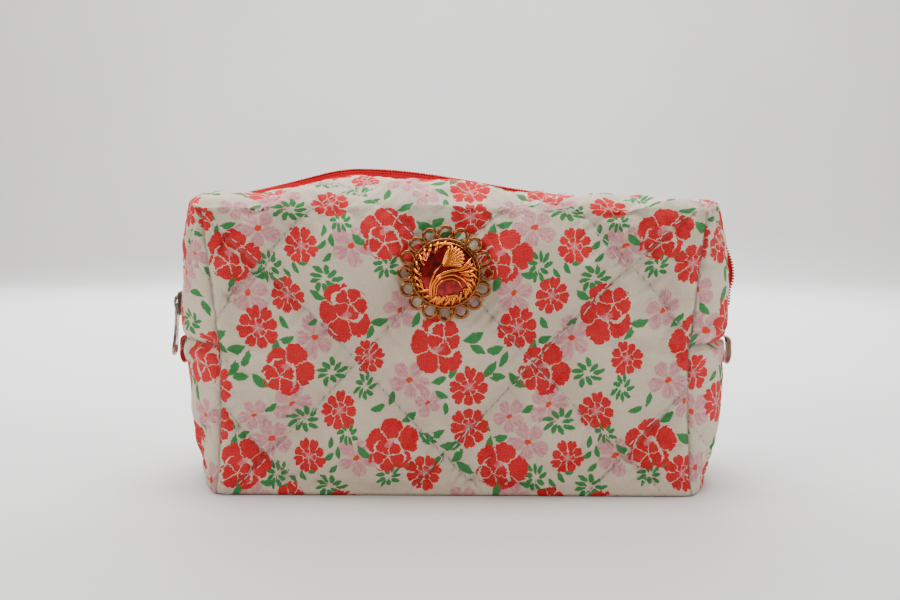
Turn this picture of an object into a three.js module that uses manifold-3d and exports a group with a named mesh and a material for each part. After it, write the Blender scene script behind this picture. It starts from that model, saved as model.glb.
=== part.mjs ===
// A boxy zip pouch of quilted cotton: a lower shell, two upper jaws that part along a curved zip,
// linings, tapes and coils, bound seams, end tabs, a slider with its pull, and a filigree brooch.
// Millimetres, +X along the length, the front faces -Y, +Z up, origin at the centre of the resting face.
import * as THREE from 'three';
import { mergeVertices } from 'three/addons/utils/BufferGeometryUtils.js';
import Module from 'manifold-3d';

const wasm = await Module();
wasm.setup();

// Driving dimensions of the pouch.
const HALF_LENGTH = 104;
const HALF_DEPTH = 47.5;
const HEIGHT = 118;
const EDGE_RADIUS = 9;
const SPLIT_Z = 62;
const GAP = 0.3;
const FRONT_SWELL = 3;

// Depths of the cloth layers, measured inwards from the outer face.
const COIL_DEPTH = [0.6, 2.0];
const SHELL_DEPTH = [0, 2.0];
const TAPE_DEPTH = [2.3, 2.9];
const LINING_DEPTH = [3.2, 3.8];
const BINDING_DEPTH = [4.1, 5.3];

// The zip, from its middle line outwards.
const COIL_EDGES = [0.15, 3.2];
const TAPE_INNER_EDGE = 1;
const SLOT_HALF = 6.5;
const TAPE_OUTER_EDGE = 14;
const SLIDER_Z = 76;
const COIL_END_Z = 75;

// Half lengths of the pouch by height: at its vertical seams, and at the middle of its ends.
const SEAM_HALF = [[0, 98.5], [30, 96], [62, 95.5], [90, 99], [118, 104]];
const END_HALF = [[0, 109], [15, 113.5], [30, 117], [48, 119.5], [62, 121], [67, 123.5], [86, 123.5],
  [104, 122], [118, 120]];
const BULGE_REACH = 45;

// The top swells between its folds, most of all left of the middle.
const CROWN = 4;
const HUMP = 12;
const HUMP_X = -42;
const HUMP_WIDTH = 58;
const FLAT_BAND = 8;

// The slider, its pull, and the tabs in the end seams.
const SLIDER_LENGTH = 11;
const SLIDER_HALF = 5.2;
const SLIDER_NARROW = 4.7;
const PLATE = 1.1;
const CHANNEL_DEPTH = [0.2, 3.3];
const BRIDGE_HALF = 3.2;
const BRIDGE_RISE = 1.8;
const BRIDGE_WIDTH = 2;
const BRIDGE_FOOT = 1;
const BRIDGE_INSIDE = 1.2;
const BRIDGE_CROWN = 0.9;
const BRIDGE_SHOULDER = 0.2;
const SLIDER_CHAMFER = [0.8, 1];
const WELD = 0.1;
const POST_HALF = 0.9;
const POST_SPAN = [0.3, 3.4];
const FLANGE_THICK = 0.8;
const FLANGE_REACH = 1.5;
const PULL_THICK = 1.2;
const PULL_TILT = THREE.MathUtils.degToRad(5);
const PULL_SIDE = [[0.6, 2.9], [-6, 2.9], [-9, 2.1], [-16, 2.1], [-20, 3.5], [-23.4, 3.5], [-24.4, 2.5]];
const PULL_EYE = [[-0.6, -1.7], [-4.9, -1.7], [-4.9, 1.7], [-0.6, 1.7]];
const PULL_HOLE = [-21.3, 0];
const PULL_HOLE_RADIUS = 1.6;
const TAB_WIDTH = 10;
const TAB_BELOW_SPLIT = 0.6;
const TAB_LOOP = [[0, 0], [2.6, 0], [4.4, -2], [4.2, -10.6], [3, -12], [1.4, -11.7], [1, -9.6], [1.9, -9.6],
  [2, -10.8], [2.8, -11], [3.2, -10], [3.5, -2.6], [2.2, -0.9], [0, -0.9]];

// The brooch on the upper front.
const BROOCH_X = -3;
const BROOCH_Z = 92;
const BROOCH_STANDOFF = 2.7;
const LOOPS = 16;
const LOOP_ORBIT = 16.4;
const LOOP_RADIUS = 3;
const LOOP_HOLE = 2;
const PLATE_THICK = 0.8;
const DOME_RADIUS = 11;
const DOME_HEIGHT = 5.5;
const PIN_HALF = 12;
const PIN_WIRE = 0.45;
const PIN_HOLE_X = 7.5;
const PIN_HOLE = 1.8;
const PIN_DRILL = 8;
const PIN_BLOCK_LENGTH = 2.6;
const PIN_HINGE_HALF = 1.4;
const PIN_CATCH_HALF = 1.2;
const PIN_HALF_ROUTE = [[6.2, -2.6], [7.4, -1.4], [8.1, 0.4], [9.6, 1.1], [PIN_HALF, 1.2]];
const PIN_LOW = [2, -2.6];
const CUP_WALL = [0.5, 1.1];
const CUP_FLOOR = 0.6;
const CUP_DEPTH = 2.4;
const DOME_SEAT = 0.9;
const ROPE_RADIUS = 13.3;
const ROPE_WIRE = 0.85;
const ROPE_LIFT = 1;
const LEAF_THICK = 0.6;
const LEAF_RIDGE = 0.35;
const LEAF_CLEAR = 0.35;
const LEAF_WIDTHS = [[0, 0.9], [0.3, 2.6], [0.7, 2.2], [1, 0.5]];
const FROND_WIDTHS = [[0, 0.8], [0.5, 1.4], [1, 0.4]];
const LEAF_LINE = [[-6, -6], [-1, -2], [3, 2], [8, 4]];
const FROND_LINES = [
  [[-5, -5], [-5, 0], [-2, 5], [2, 8]],
  [[-5, -5.4], [0, -6], [5, -4], [8, -1]],
];

const COTTON = { color: 0xe6dfd8, roughness: 0.9, metalness: 0 };
const LINING = { color: 0xf0ece6, roughness: 0.9, metalness: 0 };
const ZIP_RED = { color: 0xd8182c, roughness: 0.7, metalness: 0 };
const NYLON_RED = { color: 0xb51022, roughness: 0.45, metalness: 0 };
const GUNMETAL = { color: 0x6d6459, roughness: 0.35, metalness: 1 };
const PULL_METAL = { color: 0xb9a292, roughness: 0.3, metalness: 1 };
const COPPER = { color: 0xb0683a, roughness: 0.35, metalness: 1 };
const GILT = { color: 0xd89a4a, roughness: 0.28, metalness: 1 };
const RED_GLASS = { color: 0x9c0a0a, roughness: 0.08, metalness: 0 };
const TAB_PRINT = { color: 0xd98a95, roughness: 0.9, metalness: 0 };

const pouch = new THREE.Group();

function add(name, geometry, look, parent = pouch) {
  const mesh = new THREE.Mesh(geometry, new THREE.MeshStandardMaterial(look));
  mesh.name = name;
  parent.add(mesh);
  return mesh;
}

// ---- Booleans -------------------------------------------------------------------------------

function solid(geometry) {
  const merged = mergeVertices(positionsOnly(geometry), 1e-4);
  return new wasm.Manifold(new wasm.Mesh({
    numProp: 3,
    vertProperties: new Float32Array(merged.attributes.position.array),
    triVerts: new Uint32Array(merged.index.array),
  }));
}

function positionsOnly(geometry) {
  const bare = geometry.clone();
  bare.deleteAttribute('normal');
  bare.deleteAttribute('uv');
  return bare;
}

function geometryOf(manifold) {
  const mesh = manifold.getMesh();
  const geometry = new THREE.BufferGeometry();
  geometry.setAttribute('position', new THREE.BufferAttribute(new Float32Array(mesh.vertProperties), 3));
  geometry.setIndex(new THREE.BufferAttribute(new Uint32Array(mesh.triVerts), 1));
  geometry.computeVertexNormals();
  return geometry;
}

function joined(geometries) {
  return geometryOf(geometries.map(solid).reduce((whole, piece) => whole.add(piece)));
}

function cut(geometry, cutters) {
  return geometryOf(cutters.map(solid).reduce((whole, cutter) => whole.subtract(cutter), solid(geometry)));
}

// ---- The pouch's shape ----------------------------------------------------------------------

function between(stations, z) {
  const clamped = THREE.MathUtils.clamp(z, stations[0][0], stations.at(-1)[0]);
  const i = Math.max(1, stations.findIndex((s) => s[0] >= clamped));
  const [z0, v0] = stations[i - 1];
  const [z1, v1] = stations[i];
  return v0 + (v1 - v0) * (clamped - z0) / (z1 - z0);
}

// From a plain rounded box to the pouch: pinched seams, bulging ends, a swollen front and a crown.
function swell(p) {
  const side = Math.max(0, Math.abs(p.y) - FLAT_BAND) / (HALF_DEPTH - FLAT_BAND);
  const middle = Math.max(0, 1 - side * side);
  const reach = THREE.MathUtils.smoothstep(Math.abs(p.x), HALF_LENGTH - BULGE_REACH, HALF_LENGTH - 6);
  const seam = between(SEAM_HALF, p.z);
  const bulge = (between(END_HALF, p.z) - seam) * middle * reach;
  const x = p.x * seam / HALF_LENGTH + Math.sign(p.x) * bulge;
  const along = Math.max(0, 1 - (p.x / HALF_LENGTH) ** 2);
  const y = p.y * (1 + FRONT_SWELL / HALF_DEPTH * along * Math.sin(Math.PI * p.z / HEIGHT));
  const hump = CROWN + HUMP * Math.exp(-(((p.x - HUMP_X) / HUMP_WIDTH) ** 2));
  const z = p.z + hump * middle * THREE.MathUtils.smoothstep(p.z, 86, HEIGHT);
  return new THREE.Vector3(x, y, z);
}

// A point of the plain box's skin, taken inwards by depth and then swollen.
function place(p, depth) {
  const inner = new THREE.Vector3(
    THREE.MathUtils.clamp(p.x, EDGE_RADIUS - HALF_LENGTH, HALF_LENGTH - EDGE_RADIUS),
    THREE.MathUtils.clamp(p.y, EDGE_RADIUS - HALF_DEPTH, HALF_DEPTH - EDGE_RADIUS),
    THREE.MathUtils.clamp(p.z, EDGE_RADIUS, HEIGHT - EDGE_RADIUS),
  );
  const out = p.clone().sub(inner).normalize();
  return swell(inner.addScaledVector(out, EDGE_RADIUS - depth));
}

// Grid lines across a rounded edge, and evenly between two places.
const HALF_ARC = EDGE_RADIUS * Math.tan(Math.PI / 8);
const edgeLines = (half) => [half - EDGE_RADIUS, half - EDGE_RADIUS + HALF_ARC, half];
function evenly(from, to, steps) {
  return Array.from({ length: steps + 1 }, (_, i) => from + (to - from) * i / steps);
}
const unique = (values) => [...new Set(values.map((v) => Math.round(v * 1e6) / 1e6))].sort((a, b) => a - b);

const CLOTH_LINES = [-SLOT_HALF, -TAPE_OUTER_EDGE, -24, -32];

const LENGTH_LINES = unique([
  ...edgeLines(HALF_LENGTH), ...edgeLines(HALF_LENGTH).map((v) => -v),
  ...evenly(EDGE_RADIUS - HALF_LENGTH, HALF_LENGTH - EDGE_RADIUS, 10),
]);
const LOW_DEPTH_LINES = unique([
  ...edgeLines(HALF_DEPTH), ...edgeLines(HALF_DEPTH).map((v) => -v), ...CLOTH_LINES,
  ...CLOTH_LINES.map((v) => -v),
]);
const LOW_HEIGHT_LINES = [0, EDGE_RADIUS - HALF_ARC, EDGE_RADIUS, 15, 30, 48, SPLIT_Z - GAP / 2];
const HIGH_HEIGHT_LINES = [SPLIT_Z + GAP / 2, 67, 86, 104, ...edgeLines(HEIGHT)];

// One closed sheet of cloth: the kept cells of the box's skin, between two depths.
function sheet(xs, ys, zs, faces, [near, far]) {
  const corners = [];
  const index = new Map();
  const vertex = (p) => {
    const key = [p.x, p.y, p.z].map((v) => v.toFixed(4)).join();
    if (!index.has(key)) {
      index.set(key, corners.length);
      corners.push(p);
    }
    return index.get(key);
  };
  const quads = [];
  const spans = (lines) => lines.slice(1).map((v, i) => [lines[i], v]);
  const cell = (make, us, vs) => {
    for (const [u0, u1] of spans(us)) {
      for (const [v0, v1] of spans(vs)) {
        quads.push([make(u0, v0), make(u1, v0), make(u1, v1), make(u0, v1)].map(vertex));
      }
    }
  };
  const at = (x, y, z) => new THREE.Vector3(x, y, z);
  if (faces.includes('front')) cell((u, v) => at(u, -HALF_DEPTH, v), xs, zs);
  if (faces.includes('back')) cell((u, v) => at(v, HALF_DEPTH, u), zs, xs);
  if (faces.includes('left')) cell((u, v) => at(-HALF_LENGTH, v, u), zs, ys);
  if (faces.includes('right')) cell((u, v) => at(HALF_LENGTH, u, v), ys, zs);
  if (faces.includes('top')) cell((u, v) => at(u, v, HEIGHT), xs, ys);
  if (faces.includes('bottom')) cell((u, v) => at(v, u, 0), ys, xs);

  const points = [...corners.map((p) => place(p, near)), ...corners.map((p) => place(p, far))];
  const inside = corners.length;
  const triangles = [];
  const edges = new Map();
  for (const [a, b, c, d] of quads) {
    triangles.push(a, b, c, a, c, d);
    triangles.push(inside + a, inside + c, inside + b, inside + a, inside + d, inside + c);
    for (const [from, to] of [[a, b], [b, c], [c, d], [d, a]]) {
      edges.set(`${from},${to}`, [from, to]);
    }
  }
  for (const [from, to] of edges.values()) {
    if (edges.has(`${to},${from}`)) continue;
    triangles.push(from, inside + from, inside + to, from, inside + to, to);
  }
  const geometry = new THREE.BufferGeometry();
  geometry.setAttribute('position', new THREE.Float32BufferAttribute(points.flatMap((p) => p.toArray()), 3));
  geometry.setIndex(triangles);
  geometry.computeVertexNormals();
  return geometry;
}

const mirrored = (lines) => lines.map((v) => -v).reverse();

// ---- Cloth shells and linings -----------------------------------------------------------------

function lowerCloth(name, depths, look) {
  const faces = ['front', 'back', 'left', 'right', 'bottom'];
  add(name, sheet(LENGTH_LINES, LOW_DEPTH_LINES, LOW_HEIGHT_LINES, faces, depths), look);
}

const FRONT_FLAP_LINES = [...mirrored(edgeLines(HALF_DEPTH)), ...CLOTH_LINES.toReversed()];

// A small round hole through the upper front for each end of the brooch's pin.
function pinHoles() {
  return [-PIN_HOLE_X, PIN_HOLE_X].map((x) => {
    const drill = new THREE.CylinderGeometry(PIN_HOLE, PIN_HOLE, PIN_DRILL, 10);
    drill.rotateX(Math.PI / 2);
    drill.translate(x, 0, 0);
    return drill.applyMatrix4(broochFrame());
  });
}

function upperCloth(side, name, depths, look) {
  const ys = side === 'front' ? FRONT_FLAP_LINES : mirrored(FRONT_FLAP_LINES);
  const cloth = sheet(LENGTH_LINES, ys, HIGH_HEIGHT_LINES, [side, 'left', 'right', 'top'], depths);
  const pierced = side === 'front' && depths === SHELL_DEPTH;
  add(name, pierced ? cut(cloth, pinHoles()) : cloth, look);
}

// ---- Zip tapes and coils ------------------------------------------------------------------------

function zipSide(side) {
  const ys = [-TAPE_OUTER_EDGE, -SLOT_HALF, -TAPE_INNER_EDGE];
  const coil = mirrored(COIL_EDGES);
  const faces = ['left', 'right', 'top'];
  const turn = side === 'front' ? (lines) => lines : mirrored;
  add(`zip_tape_${side}`, sheet(LENGTH_LINES, turn(ys), HIGH_HEIGHT_LINES, faces, TAPE_DEPTH), ZIP_RED);
  const zs = [COIL_END_Z, ...HIGH_HEIGHT_LINES.slice(2)];
  add(`zip_coil_${side}`, sheet(LENGTH_LINES, turn(coil), zs, faces, COIL_DEPTH), NYLON_RED);
}

// ---- Seam bindings inside -----------------------------------------------------------------------

function cornerBindings() {
  const ys = [...mirrored(edgeLines(HALF_DEPTH)).slice(1), CLOTH_LINES.at(-1)];
  for (const end of ['left', 'right']) {
    for (const side of ['front', 'back']) {
      const lines = side === 'front' ? ys : mirrored(ys);
      const low = sheet([], lines, LOW_HEIGHT_LINES.slice(2), [end], BINDING_DEPTH);
      const high = sheet([], lines, HIGH_HEIGHT_LINES.slice(0, 4), [end], BINDING_DEPTH);
      add(`seam_binding_${end}_${side}_lower`, low, LINING);
      add(`seam_binding_${end}_${side}_upper`, high, LINING);
    }
  }
}

function endBindings() {
  const ys = unique([...CLOTH_LINES.slice(0, 3), ...CLOTH_LINES.slice(0, 3).map((v) => -v)]);
  for (const end of ['left', 'right']) {
    add(`end_seam_binding_${end}`, sheet([], ys, [54, SPLIT_Z - GAP / 2], [end], BINDING_DEPTH), LINING);
  }
}

// ---- Tabs in the end seams ------------------------------------------------------------------------

// A strip of print folded into a flat loop that hangs from the end seam, seen along its width.
function endTab(end) {
  const root = between(END_HALF, SPLIT_Z) + GAP;
  const top = SPLIT_Z - TAB_BELOW_SPLIT;
  const loop = polygon(TAB_LOOP.map(([out, up]) => [root + out, top + up]));
  const tab = new THREE.ExtrudeGeometry(loop, { depth: TAB_WIDTH, bevelEnabled: false });
  tab.rotateX(Math.PI / 2);
  tab.translate(0, TAB_WIDTH / 2, 0);
  if (end === 'left') tab.rotateZ(Math.PI);
  add(`end_tab_${end}`, tab, TAB_PRINT);
}

// ---- Slider and pull --------------------------------------------------------------------------------

// In the slider's own frame: x outwards from the zip's face, y across the zip, z towards the closed side.
function extrudedAcross(outline, width) {
  const piece = new THREE.ExtrudeGeometry(outline, { depth: width, bevelEnabled: false });
  piece.rotateX(Math.PI / 2);
  piece.translate(0, width / 2, 0);
  return piece;
}

function polygon(points) {
  return new THREE.Shape(points.map(([x, y]) => new THREE.Vector2(x, y)));
}

function block(x0, x1, y0, y1, z0, z1) {
  const box = new THREE.BoxGeometry(x1 - x0, y1 - y0, z1 - z0);
  return box.translate((x0 + x1) / 2, (y0 + y1) / 2, (z0 + z1) / 2);
}

function sliderPlate(x0, x1) {
  const half = SLIDER_LENGTH / 2;
  const [tail, nose] = SLIDER_CHAMFER;
  const side = [[half, SLIDER_NARROW - nose], [half - nose, SLIDER_NARROW], [-half + tail, SLIDER_HALF],
    [-half, SLIDER_HALF - tail]];
  const outline = polygon([...side.map(([x, y]) => [x, -y]).reverse(), ...side]);
  const plate = new THREE.ExtrudeGeometry(outline, { depth: x1 - x0, bevelEnabled: false });
  plate.rotateY(-Math.PI / 2);
  return plate.translate(x1, 0, 0);
}

function slider() {
  const half = SLIDER_LENGTH / 2;
  const [near, far] = CHANNEL_DEPTH;
  const outer = sliderPlate(-near, -near + PLATE);
  const inner = sliderPlate(-far - PLATE, -far);
  const [postFrom, postTo] = POST_SPAN.map((z) => z - half);
  const post = block(-far - WELD, -near + WELD, -POST_HALF, POST_HALF, postFrom, postTo);
  const flange = (side) => {
    const y = [side * (SLIDER_NARROW - FLANGE_THICK), side * SLIDER_NARROW].sort((a, b) => a - b);
    return block(-near - FLANGE_REACH, -near + WELD, y[0], y[1], -half + 1, half - 1);
  };
  const face = -near + PLATE;
  const under = face + BRIDGE_RISE;
  const foot = face - WELD;
  const bridgeSide = [[foot, BRIDGE_HALF - BRIDGE_FOOT], [under, BRIDGE_HALF - BRIDGE_INSIDE]];
  const crown = [under + PLATE, BRIDGE_HALF - BRIDGE_CROWN];
  const overSide = [crown, [under + BRIDGE_SHOULDER, BRIDGE_HALF], [foot, BRIDGE_HALF]];
  const mirroredSide = (points) => points.map(([x, y]) => [x, -y]).reverse();
  const arch = polygon([...mirroredSide(overSide), ...overSide, ...bridgeSide, ...mirroredSide(bridgeSide)]);
  const bridge = extrudedAcross(arch, BRIDGE_WIDTH);
  return joined([outer, inner, post, flange(-1), flange(1), bridge]);
}

// The pull hangs from the bar of its eye, which lies in the slider's bridge.
function pull() {
  const outline = polygon([...PULL_SIDE, ...PULL_SIDE.map(([x, y]) => [x, -y]).reverse()]);
  outline.holes.push(new THREE.Path(PULL_EYE.map(([x, y]) => new THREE.Vector2(x, y))));
  const ring = new THREE.Path();
  ring.absarc(...PULL_HOLE, PULL_HOLE_RADIUS, 0, 2 * Math.PI, true);
  outline.holes.push(ring);
  const options = { depth: PULL_THICK, bevelEnabled: false, curveSegments: 8 };
  const plate = new THREE.ExtrudeGeometry(outline, options);
  plate.rotateY(-Math.PI / 2);
  return plate.translate(PULL_THICK / 2, 0, 0);
}

// The left stop: local x points out of the left end, local z up along the zip.
function sliderAndPull() {
  const seat = new THREE.Group();
  const face = between(END_HALF, SLIDER_Z);
  seat.position.set(-face, 0, SLIDER_Z);
  seat.rotation.z = Math.PI;
  add('slider_body', slider(), GUNMETAL, seat);
  const swing = new THREE.Group();
  swing.position.x = -CHANNEL_DEPTH[0] + PLATE + BRIDGE_RISE / 2;
  swing.rotation.y = -PULL_TILT;
  add('pull_tab', pull(), PULL_METAL, swing);
  seat.add(swing);
  pouch.add(seat);
}

// ---- Brooch -------------------------------------------------------------------------------------------

// The brooch's frame on the cloth: x to the right, y up the front, z out of the cloth.
function broochFrame() {
  const at = (x, z) => place(new THREE.Vector3(x, -HALF_DEPTH, z), 0);
  const nominalX = BROOCH_X * HALF_LENGTH / between(SEAM_HALF, BROOCH_Z);
  const origin = at(nominalX, BROOCH_Z);
  const right = at(nominalX + PIN_HALF, BROOCH_Z).sub(at(nominalX - PIN_HALF, BROOCH_Z)).normalize();
  const up = at(nominalX, BROOCH_Z + 8).sub(at(nominalX, BROOCH_Z - 8)).normalize();
  const out = right.clone().cross(up).normalize();
  return new THREE.Matrix4().makeBasis(right, out.clone().cross(right), out).setPosition(origin);
}

function lathed(profile, segments) {
  const ring = new THREE.LatheGeometry(profile.map(([r, z]) => new THREE.Vector2(r, z)), segments);
  return ring.rotateX(Math.PI / 2);
}

// A flat disc edged with pierced loops.
function filigree() {
  const outline = new THREE.Shape();
  const step = 2 * Math.PI / LOOPS;
  const half = Math.PI / 2 + step / 2;
  for (let k = 0; k < LOOPS; k += 1) {
    const angle = k * step;
    const x = LOOP_ORBIT * Math.cos(angle);
    const y = LOOP_ORBIT * Math.sin(angle);
    for (let i = 0; i <= 4; i += 1) {
      const turn = angle - half + 2 * half * i / 4;
      const point = [x + LOOP_RADIUS * Math.cos(turn), y + LOOP_RADIUS * Math.sin(turn)];
      if (k === 0 && i === 0) outline.moveTo(...point);
      else if (i > 0) outline.lineTo(...point);
    }
    const hole = new THREE.Path();
    hole.absarc(x, y, LOOP_HOLE, 0, 2 * Math.PI, true);
    outline.holes.push(hole);
  }
  outline.closePath();
  return new THREE.ExtrudeGeometry(outline, { depth: PLATE_THICK, bevelEnabled: false, curveSegments: 3 });
}

const domeHeight = (r) => DOME_HEIGHT * Math.sqrt(Math.max(0, 1 - (r / (DOME_RADIUS + 2)) ** 2));

function dome() {
  const steps = evenly(0, DOME_RADIUS, 5);
  const cap = steps.map((r) => [r, domeHeight(r)]);
  return lathed([[0, 0], [DOME_RADIUS, 0], ...cap.reverse()], 20);
}

// A thin gilt strip that lies over the dome, along a line of points with a half width at each.
function leafStrip(line, widths) {
  const curve = new THREE.CatmullRomCurve3(line.map(([x, y]) => new THREE.Vector3(x, y, 0)));
  const steps = 8;
  const rows = evenly(0, 1, steps).map((t) => {
    const at = curve.getPoint(t);
    const along = curve.getTangent(t);
    const half = between(widths, t);
    return [-1, 0, 1].map((s) => {
      const x = at.x - along.y * half * s;
      const y = at.y + along.x * half * s;
      const ridge = s === 0 ? LEAF_RIDGE : 0;
      return [x, y, domeHeight(Math.hypot(x, y)) + LEAF_CLEAR, ridge];
    });
  });
  const points = [];
  rows.flat().forEach(([x, y, z, ridge]) => points.push(x, y, z + LEAF_THICK + ridge));
  rows.flat().forEach(([x, y, z]) => points.push(x, y, z));
  const below = rows.length * 3;
  const triangles = [];
  const quad = (a, b, c, d) => triangles.push(a, b, c, a, c, d);
  for (let i = 0; i < steps; i += 1) {
    const a = i * 3;
    for (const s of [0, 1]) {
      quad(a + s, a + 3 + s, a + 4 + s, a + 1 + s);
      quad(below + a + s, below + a + 1 + s, below + a + 4 + s, below + a + 3 + s);
    }
    quad(a, below + a, below + a + 3, a + 3);
    quad(a + 2, a + 5, below + a + 5, below + a + 2);
  }
  const last = steps * 3;
  for (const s of [0, 1]) {
    quad(s, s + 1, below + s + 1, below + s);
    quad(last + s + 1, last + s, below + last + s, below + last + s + 1);
  }
  const geometry = new THREE.BufferGeometry();
  geometry.setAttribute('position', new THREE.Float32BufferAttribute(points, 3));
  geometry.setIndex(triangles);
  return geometry;
}

function overlay() {
  return joined([
    leafStrip(LEAF_LINE, LEAF_WIDTHS),
    ...FROND_LINES.map((line) => leafStrip(line, FROND_WIDTHS)),
  ]);
}

function pinStem() {
  const half = [PIN_LOW, ...PIN_HALF_ROUTE];
  const route = [...half.map(([x, z]) => [-x, z]).reverse(), ...half];
  const path = new THREE.CatmullRomCurve3(route.map(([x, z]) => new THREE.Vector3(x, 0, z)));
  const section = new THREE.Shape();
  section.absarc(0, 0, PIN_WIRE, 0, 2 * Math.PI);
  const options = { extrudePath: path, steps: 30, curveSegments: 4, bevelEnabled: false };
  return new THREE.ExtrudeGeometry(section, options);
}

function brooch() {
  const group = new THREE.Group();
  group.applyMatrix4(broochFrame());
  const back = BROOCH_STANDOFF;
  const front = back + PLATE_THICK + GAP;
  add('brooch_filigree_plate', filigree().translate(0, 0, back), COPPER, group);
  const [lip, wall] = CUP_WALL.map((w) => DOME_RADIUS + w);
  const cup = [[0, 0], [wall, 0], [wall, CUP_DEPTH], [lip, CUP_DEPTH], [lip, CUP_FLOOR], [0, CUP_FLOOR]];
  add('brooch_dome_cup', lathed(cup, 24).translate(0, 0, front), COPPER, group);
  add('brooch_dome', dome().translate(0, 0, front + DOME_SEAT), RED_GLASS, group);
  const rope = evenly(0, 1, 8).map((t) => {
    const turn = 2 * Math.PI * t;
    return [ROPE_RADIUS + ROPE_WIRE * Math.cos(turn), ROPE_LIFT + ROPE_WIRE * Math.sin(turn)];
  });
  add('brooch_rope_rim', lathed(rope, 32).translate(0, 0, front), GILT, group);
  add('brooch_leaf_overlay', overlay().translate(0, 0, front + DOME_SEAT), GILT, group);
  const near = PIN_HALF + GAP;
  const far = PIN_HALF + PIN_BLOCK_LENGTH;
  const hinge = block(-far, -near, -PIN_HINGE_HALF, PIN_HINGE_HALF, GAP, back - GAP);
  const pinCatch = block(near, far, -PIN_CATCH_HALF, PIN_CATCH_HALF, GAP, back - GAP);
  add('brooch_pin_hinge', hinge, COPPER, group);
  add('brooch_pin_catch', pinCatch, COPPER, group);
  add('brooch_pin_stem', pinStem(), GUNMETAL, group);
  pouch.add(group);
}

lowerCloth('lower_shell', SHELL_DEPTH, COTTON);
lowerCloth('lower_lining', LINING_DEPTH, LINING);
for (const side of ['front', 'back']) {
  upperCloth(side, `upper_${side}_shell`, SHELL_DEPTH, COTTON);
  upperCloth(side, `upper_${side}_lining`, LINING_DEPTH, LINING);
  zipSide(side);
}
cornerBindings();
endBindings();
endTab('left');
endTab('right');
sliderAndPull();
brooch();

export default pouch;
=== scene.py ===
"""A boxy zip pouch of quilted, printed cotton with a red nylon zip and a filigree brooch."""
import math
from functools import partialmethod

import bmesh
import bpy
import numpy as np
from mathutils import Matrix, Vector
from mathutils.bvhtree import BVHTree


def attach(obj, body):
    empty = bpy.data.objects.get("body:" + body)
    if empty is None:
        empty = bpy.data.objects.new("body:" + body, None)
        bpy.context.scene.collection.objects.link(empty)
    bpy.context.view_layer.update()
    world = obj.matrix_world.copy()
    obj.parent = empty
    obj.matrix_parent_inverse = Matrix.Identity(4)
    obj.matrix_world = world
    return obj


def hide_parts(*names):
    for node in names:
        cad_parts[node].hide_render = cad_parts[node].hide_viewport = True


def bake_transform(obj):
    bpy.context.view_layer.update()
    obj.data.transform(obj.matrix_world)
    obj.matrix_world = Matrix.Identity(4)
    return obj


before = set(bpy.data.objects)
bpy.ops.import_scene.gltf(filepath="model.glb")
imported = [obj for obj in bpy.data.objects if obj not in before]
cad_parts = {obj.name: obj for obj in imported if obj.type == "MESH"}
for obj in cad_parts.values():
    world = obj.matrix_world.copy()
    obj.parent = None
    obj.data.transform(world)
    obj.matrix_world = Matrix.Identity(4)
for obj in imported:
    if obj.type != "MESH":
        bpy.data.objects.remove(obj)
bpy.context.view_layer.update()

MM = 0.001
TAU = 2 * math.pi

# The pouch as the CAD has it, in millimetres, but for a few that differ a little from it as the photo asks.
HALF_LENGTH = 104
HALF_DEPTH = 47.5
HEIGHT = 119.5
EDGE_RADIUS = 9
EDGE_FILL, BOTTOM_FILL = 4.0, 7.5
SPLIT_Z = 62
SEAM_HALF = [(0, 98.5), (30, 96), (62, 95.5), (90, 99), (118, 104)]
END_HALF = [(0, 110), (15, 114.2), (30, 116.5), (48, 116.7), (62, 117.4), (68, 121), (86, 121.8), (104, 120),
            (118, 115.6)]
FRONT_SWELL = 3
CROWN = 2.5
HUMP, HUMP_X, HUMP_LEFT, HUMP_RIGHT = 11.1, -42, 42, 74
HUMP_FOOT = 86
END_REACH, END_EASE = 45, 39
FLAT_BAND = 8
SLOT_HALF = 6.5
SLIDER_Z = 76
SLIDER_FACE = 123.5
BROOCH_X, BROOCH_Z = -3, 92
BROOCH_SEAM_HALF = 99.28
BROOCH_STANDOFF = 2.7

# The end tabs: where the loop starts, its place on the print, and its route outwards and down.
TAB_ROOT, TAB_TOP, TAB_REACH, TAB_HALF = 119.6, 61.4, 0.85, 5
TAB_CUT = {"left": (-47, 31), "right": (3, 18.4)}
TAB_LOOP = [(0, 0), (1.6, 0.1), (3.2, -0.6), (4.1, -2.4), (4.2, -5), (4.1, -8), (3.8, -10.4), (2.9, -11.7),
            (1.9, -11.4), (1.3, -10), (1.1, -8), (1.2, -4.6), (0.7, -2.2), (0, -1.3)]

# The brooch: its dome's curve, the numbers of wire loops and edge leaves, and the heights of its layers.
DOME_RADIUS, DOME_HEIGHT, DOME_ROUND = 11.0, 5.5, 13
LOOPS, BORDER_LEAVES = 16, 26
CUP_LIFT, DOME_LIFT = 1.1, 2.0

# Where a bending of the cloth would start and end, for the front; the back mirrors it. bend() works these out
# but uses them for nothing.
BEND_START = (0, -47, 58)
BEND_SPAN = (0, -8.6, 22.6)

# The cut of the cloth: quilting lines, and the repeat of the print.
STITCH = 3.4
QUILT_PITCH = 78
QUILT_DOWN_LEFT = 21
QUILT_DOWN_RIGHT = 50
PUFF = 1.5
REPEAT = (113.0, 86.0)
PRINT_ORIGIN = (-63.0, 16.4)
BLUSH = (0.84, 0.22, 0.26)
QUILTING = ((1, QUILT_DOWN_LEFT), (-1, QUILT_DOWN_RIGHT))

# Thicknesses and depths of the cloth layers.
COVER_THICK, LINING_THICK, TAPE_THICK, TAB_THICK, BINDING_THICK = 1.3, 0.5, 0.5, 0.55, 0.7
LINING_DEPTH, TAPE_DEPTH, BINDING_DEPTH = 3.3, 2.35, 5.2
TAPE_HALF = 14

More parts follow.
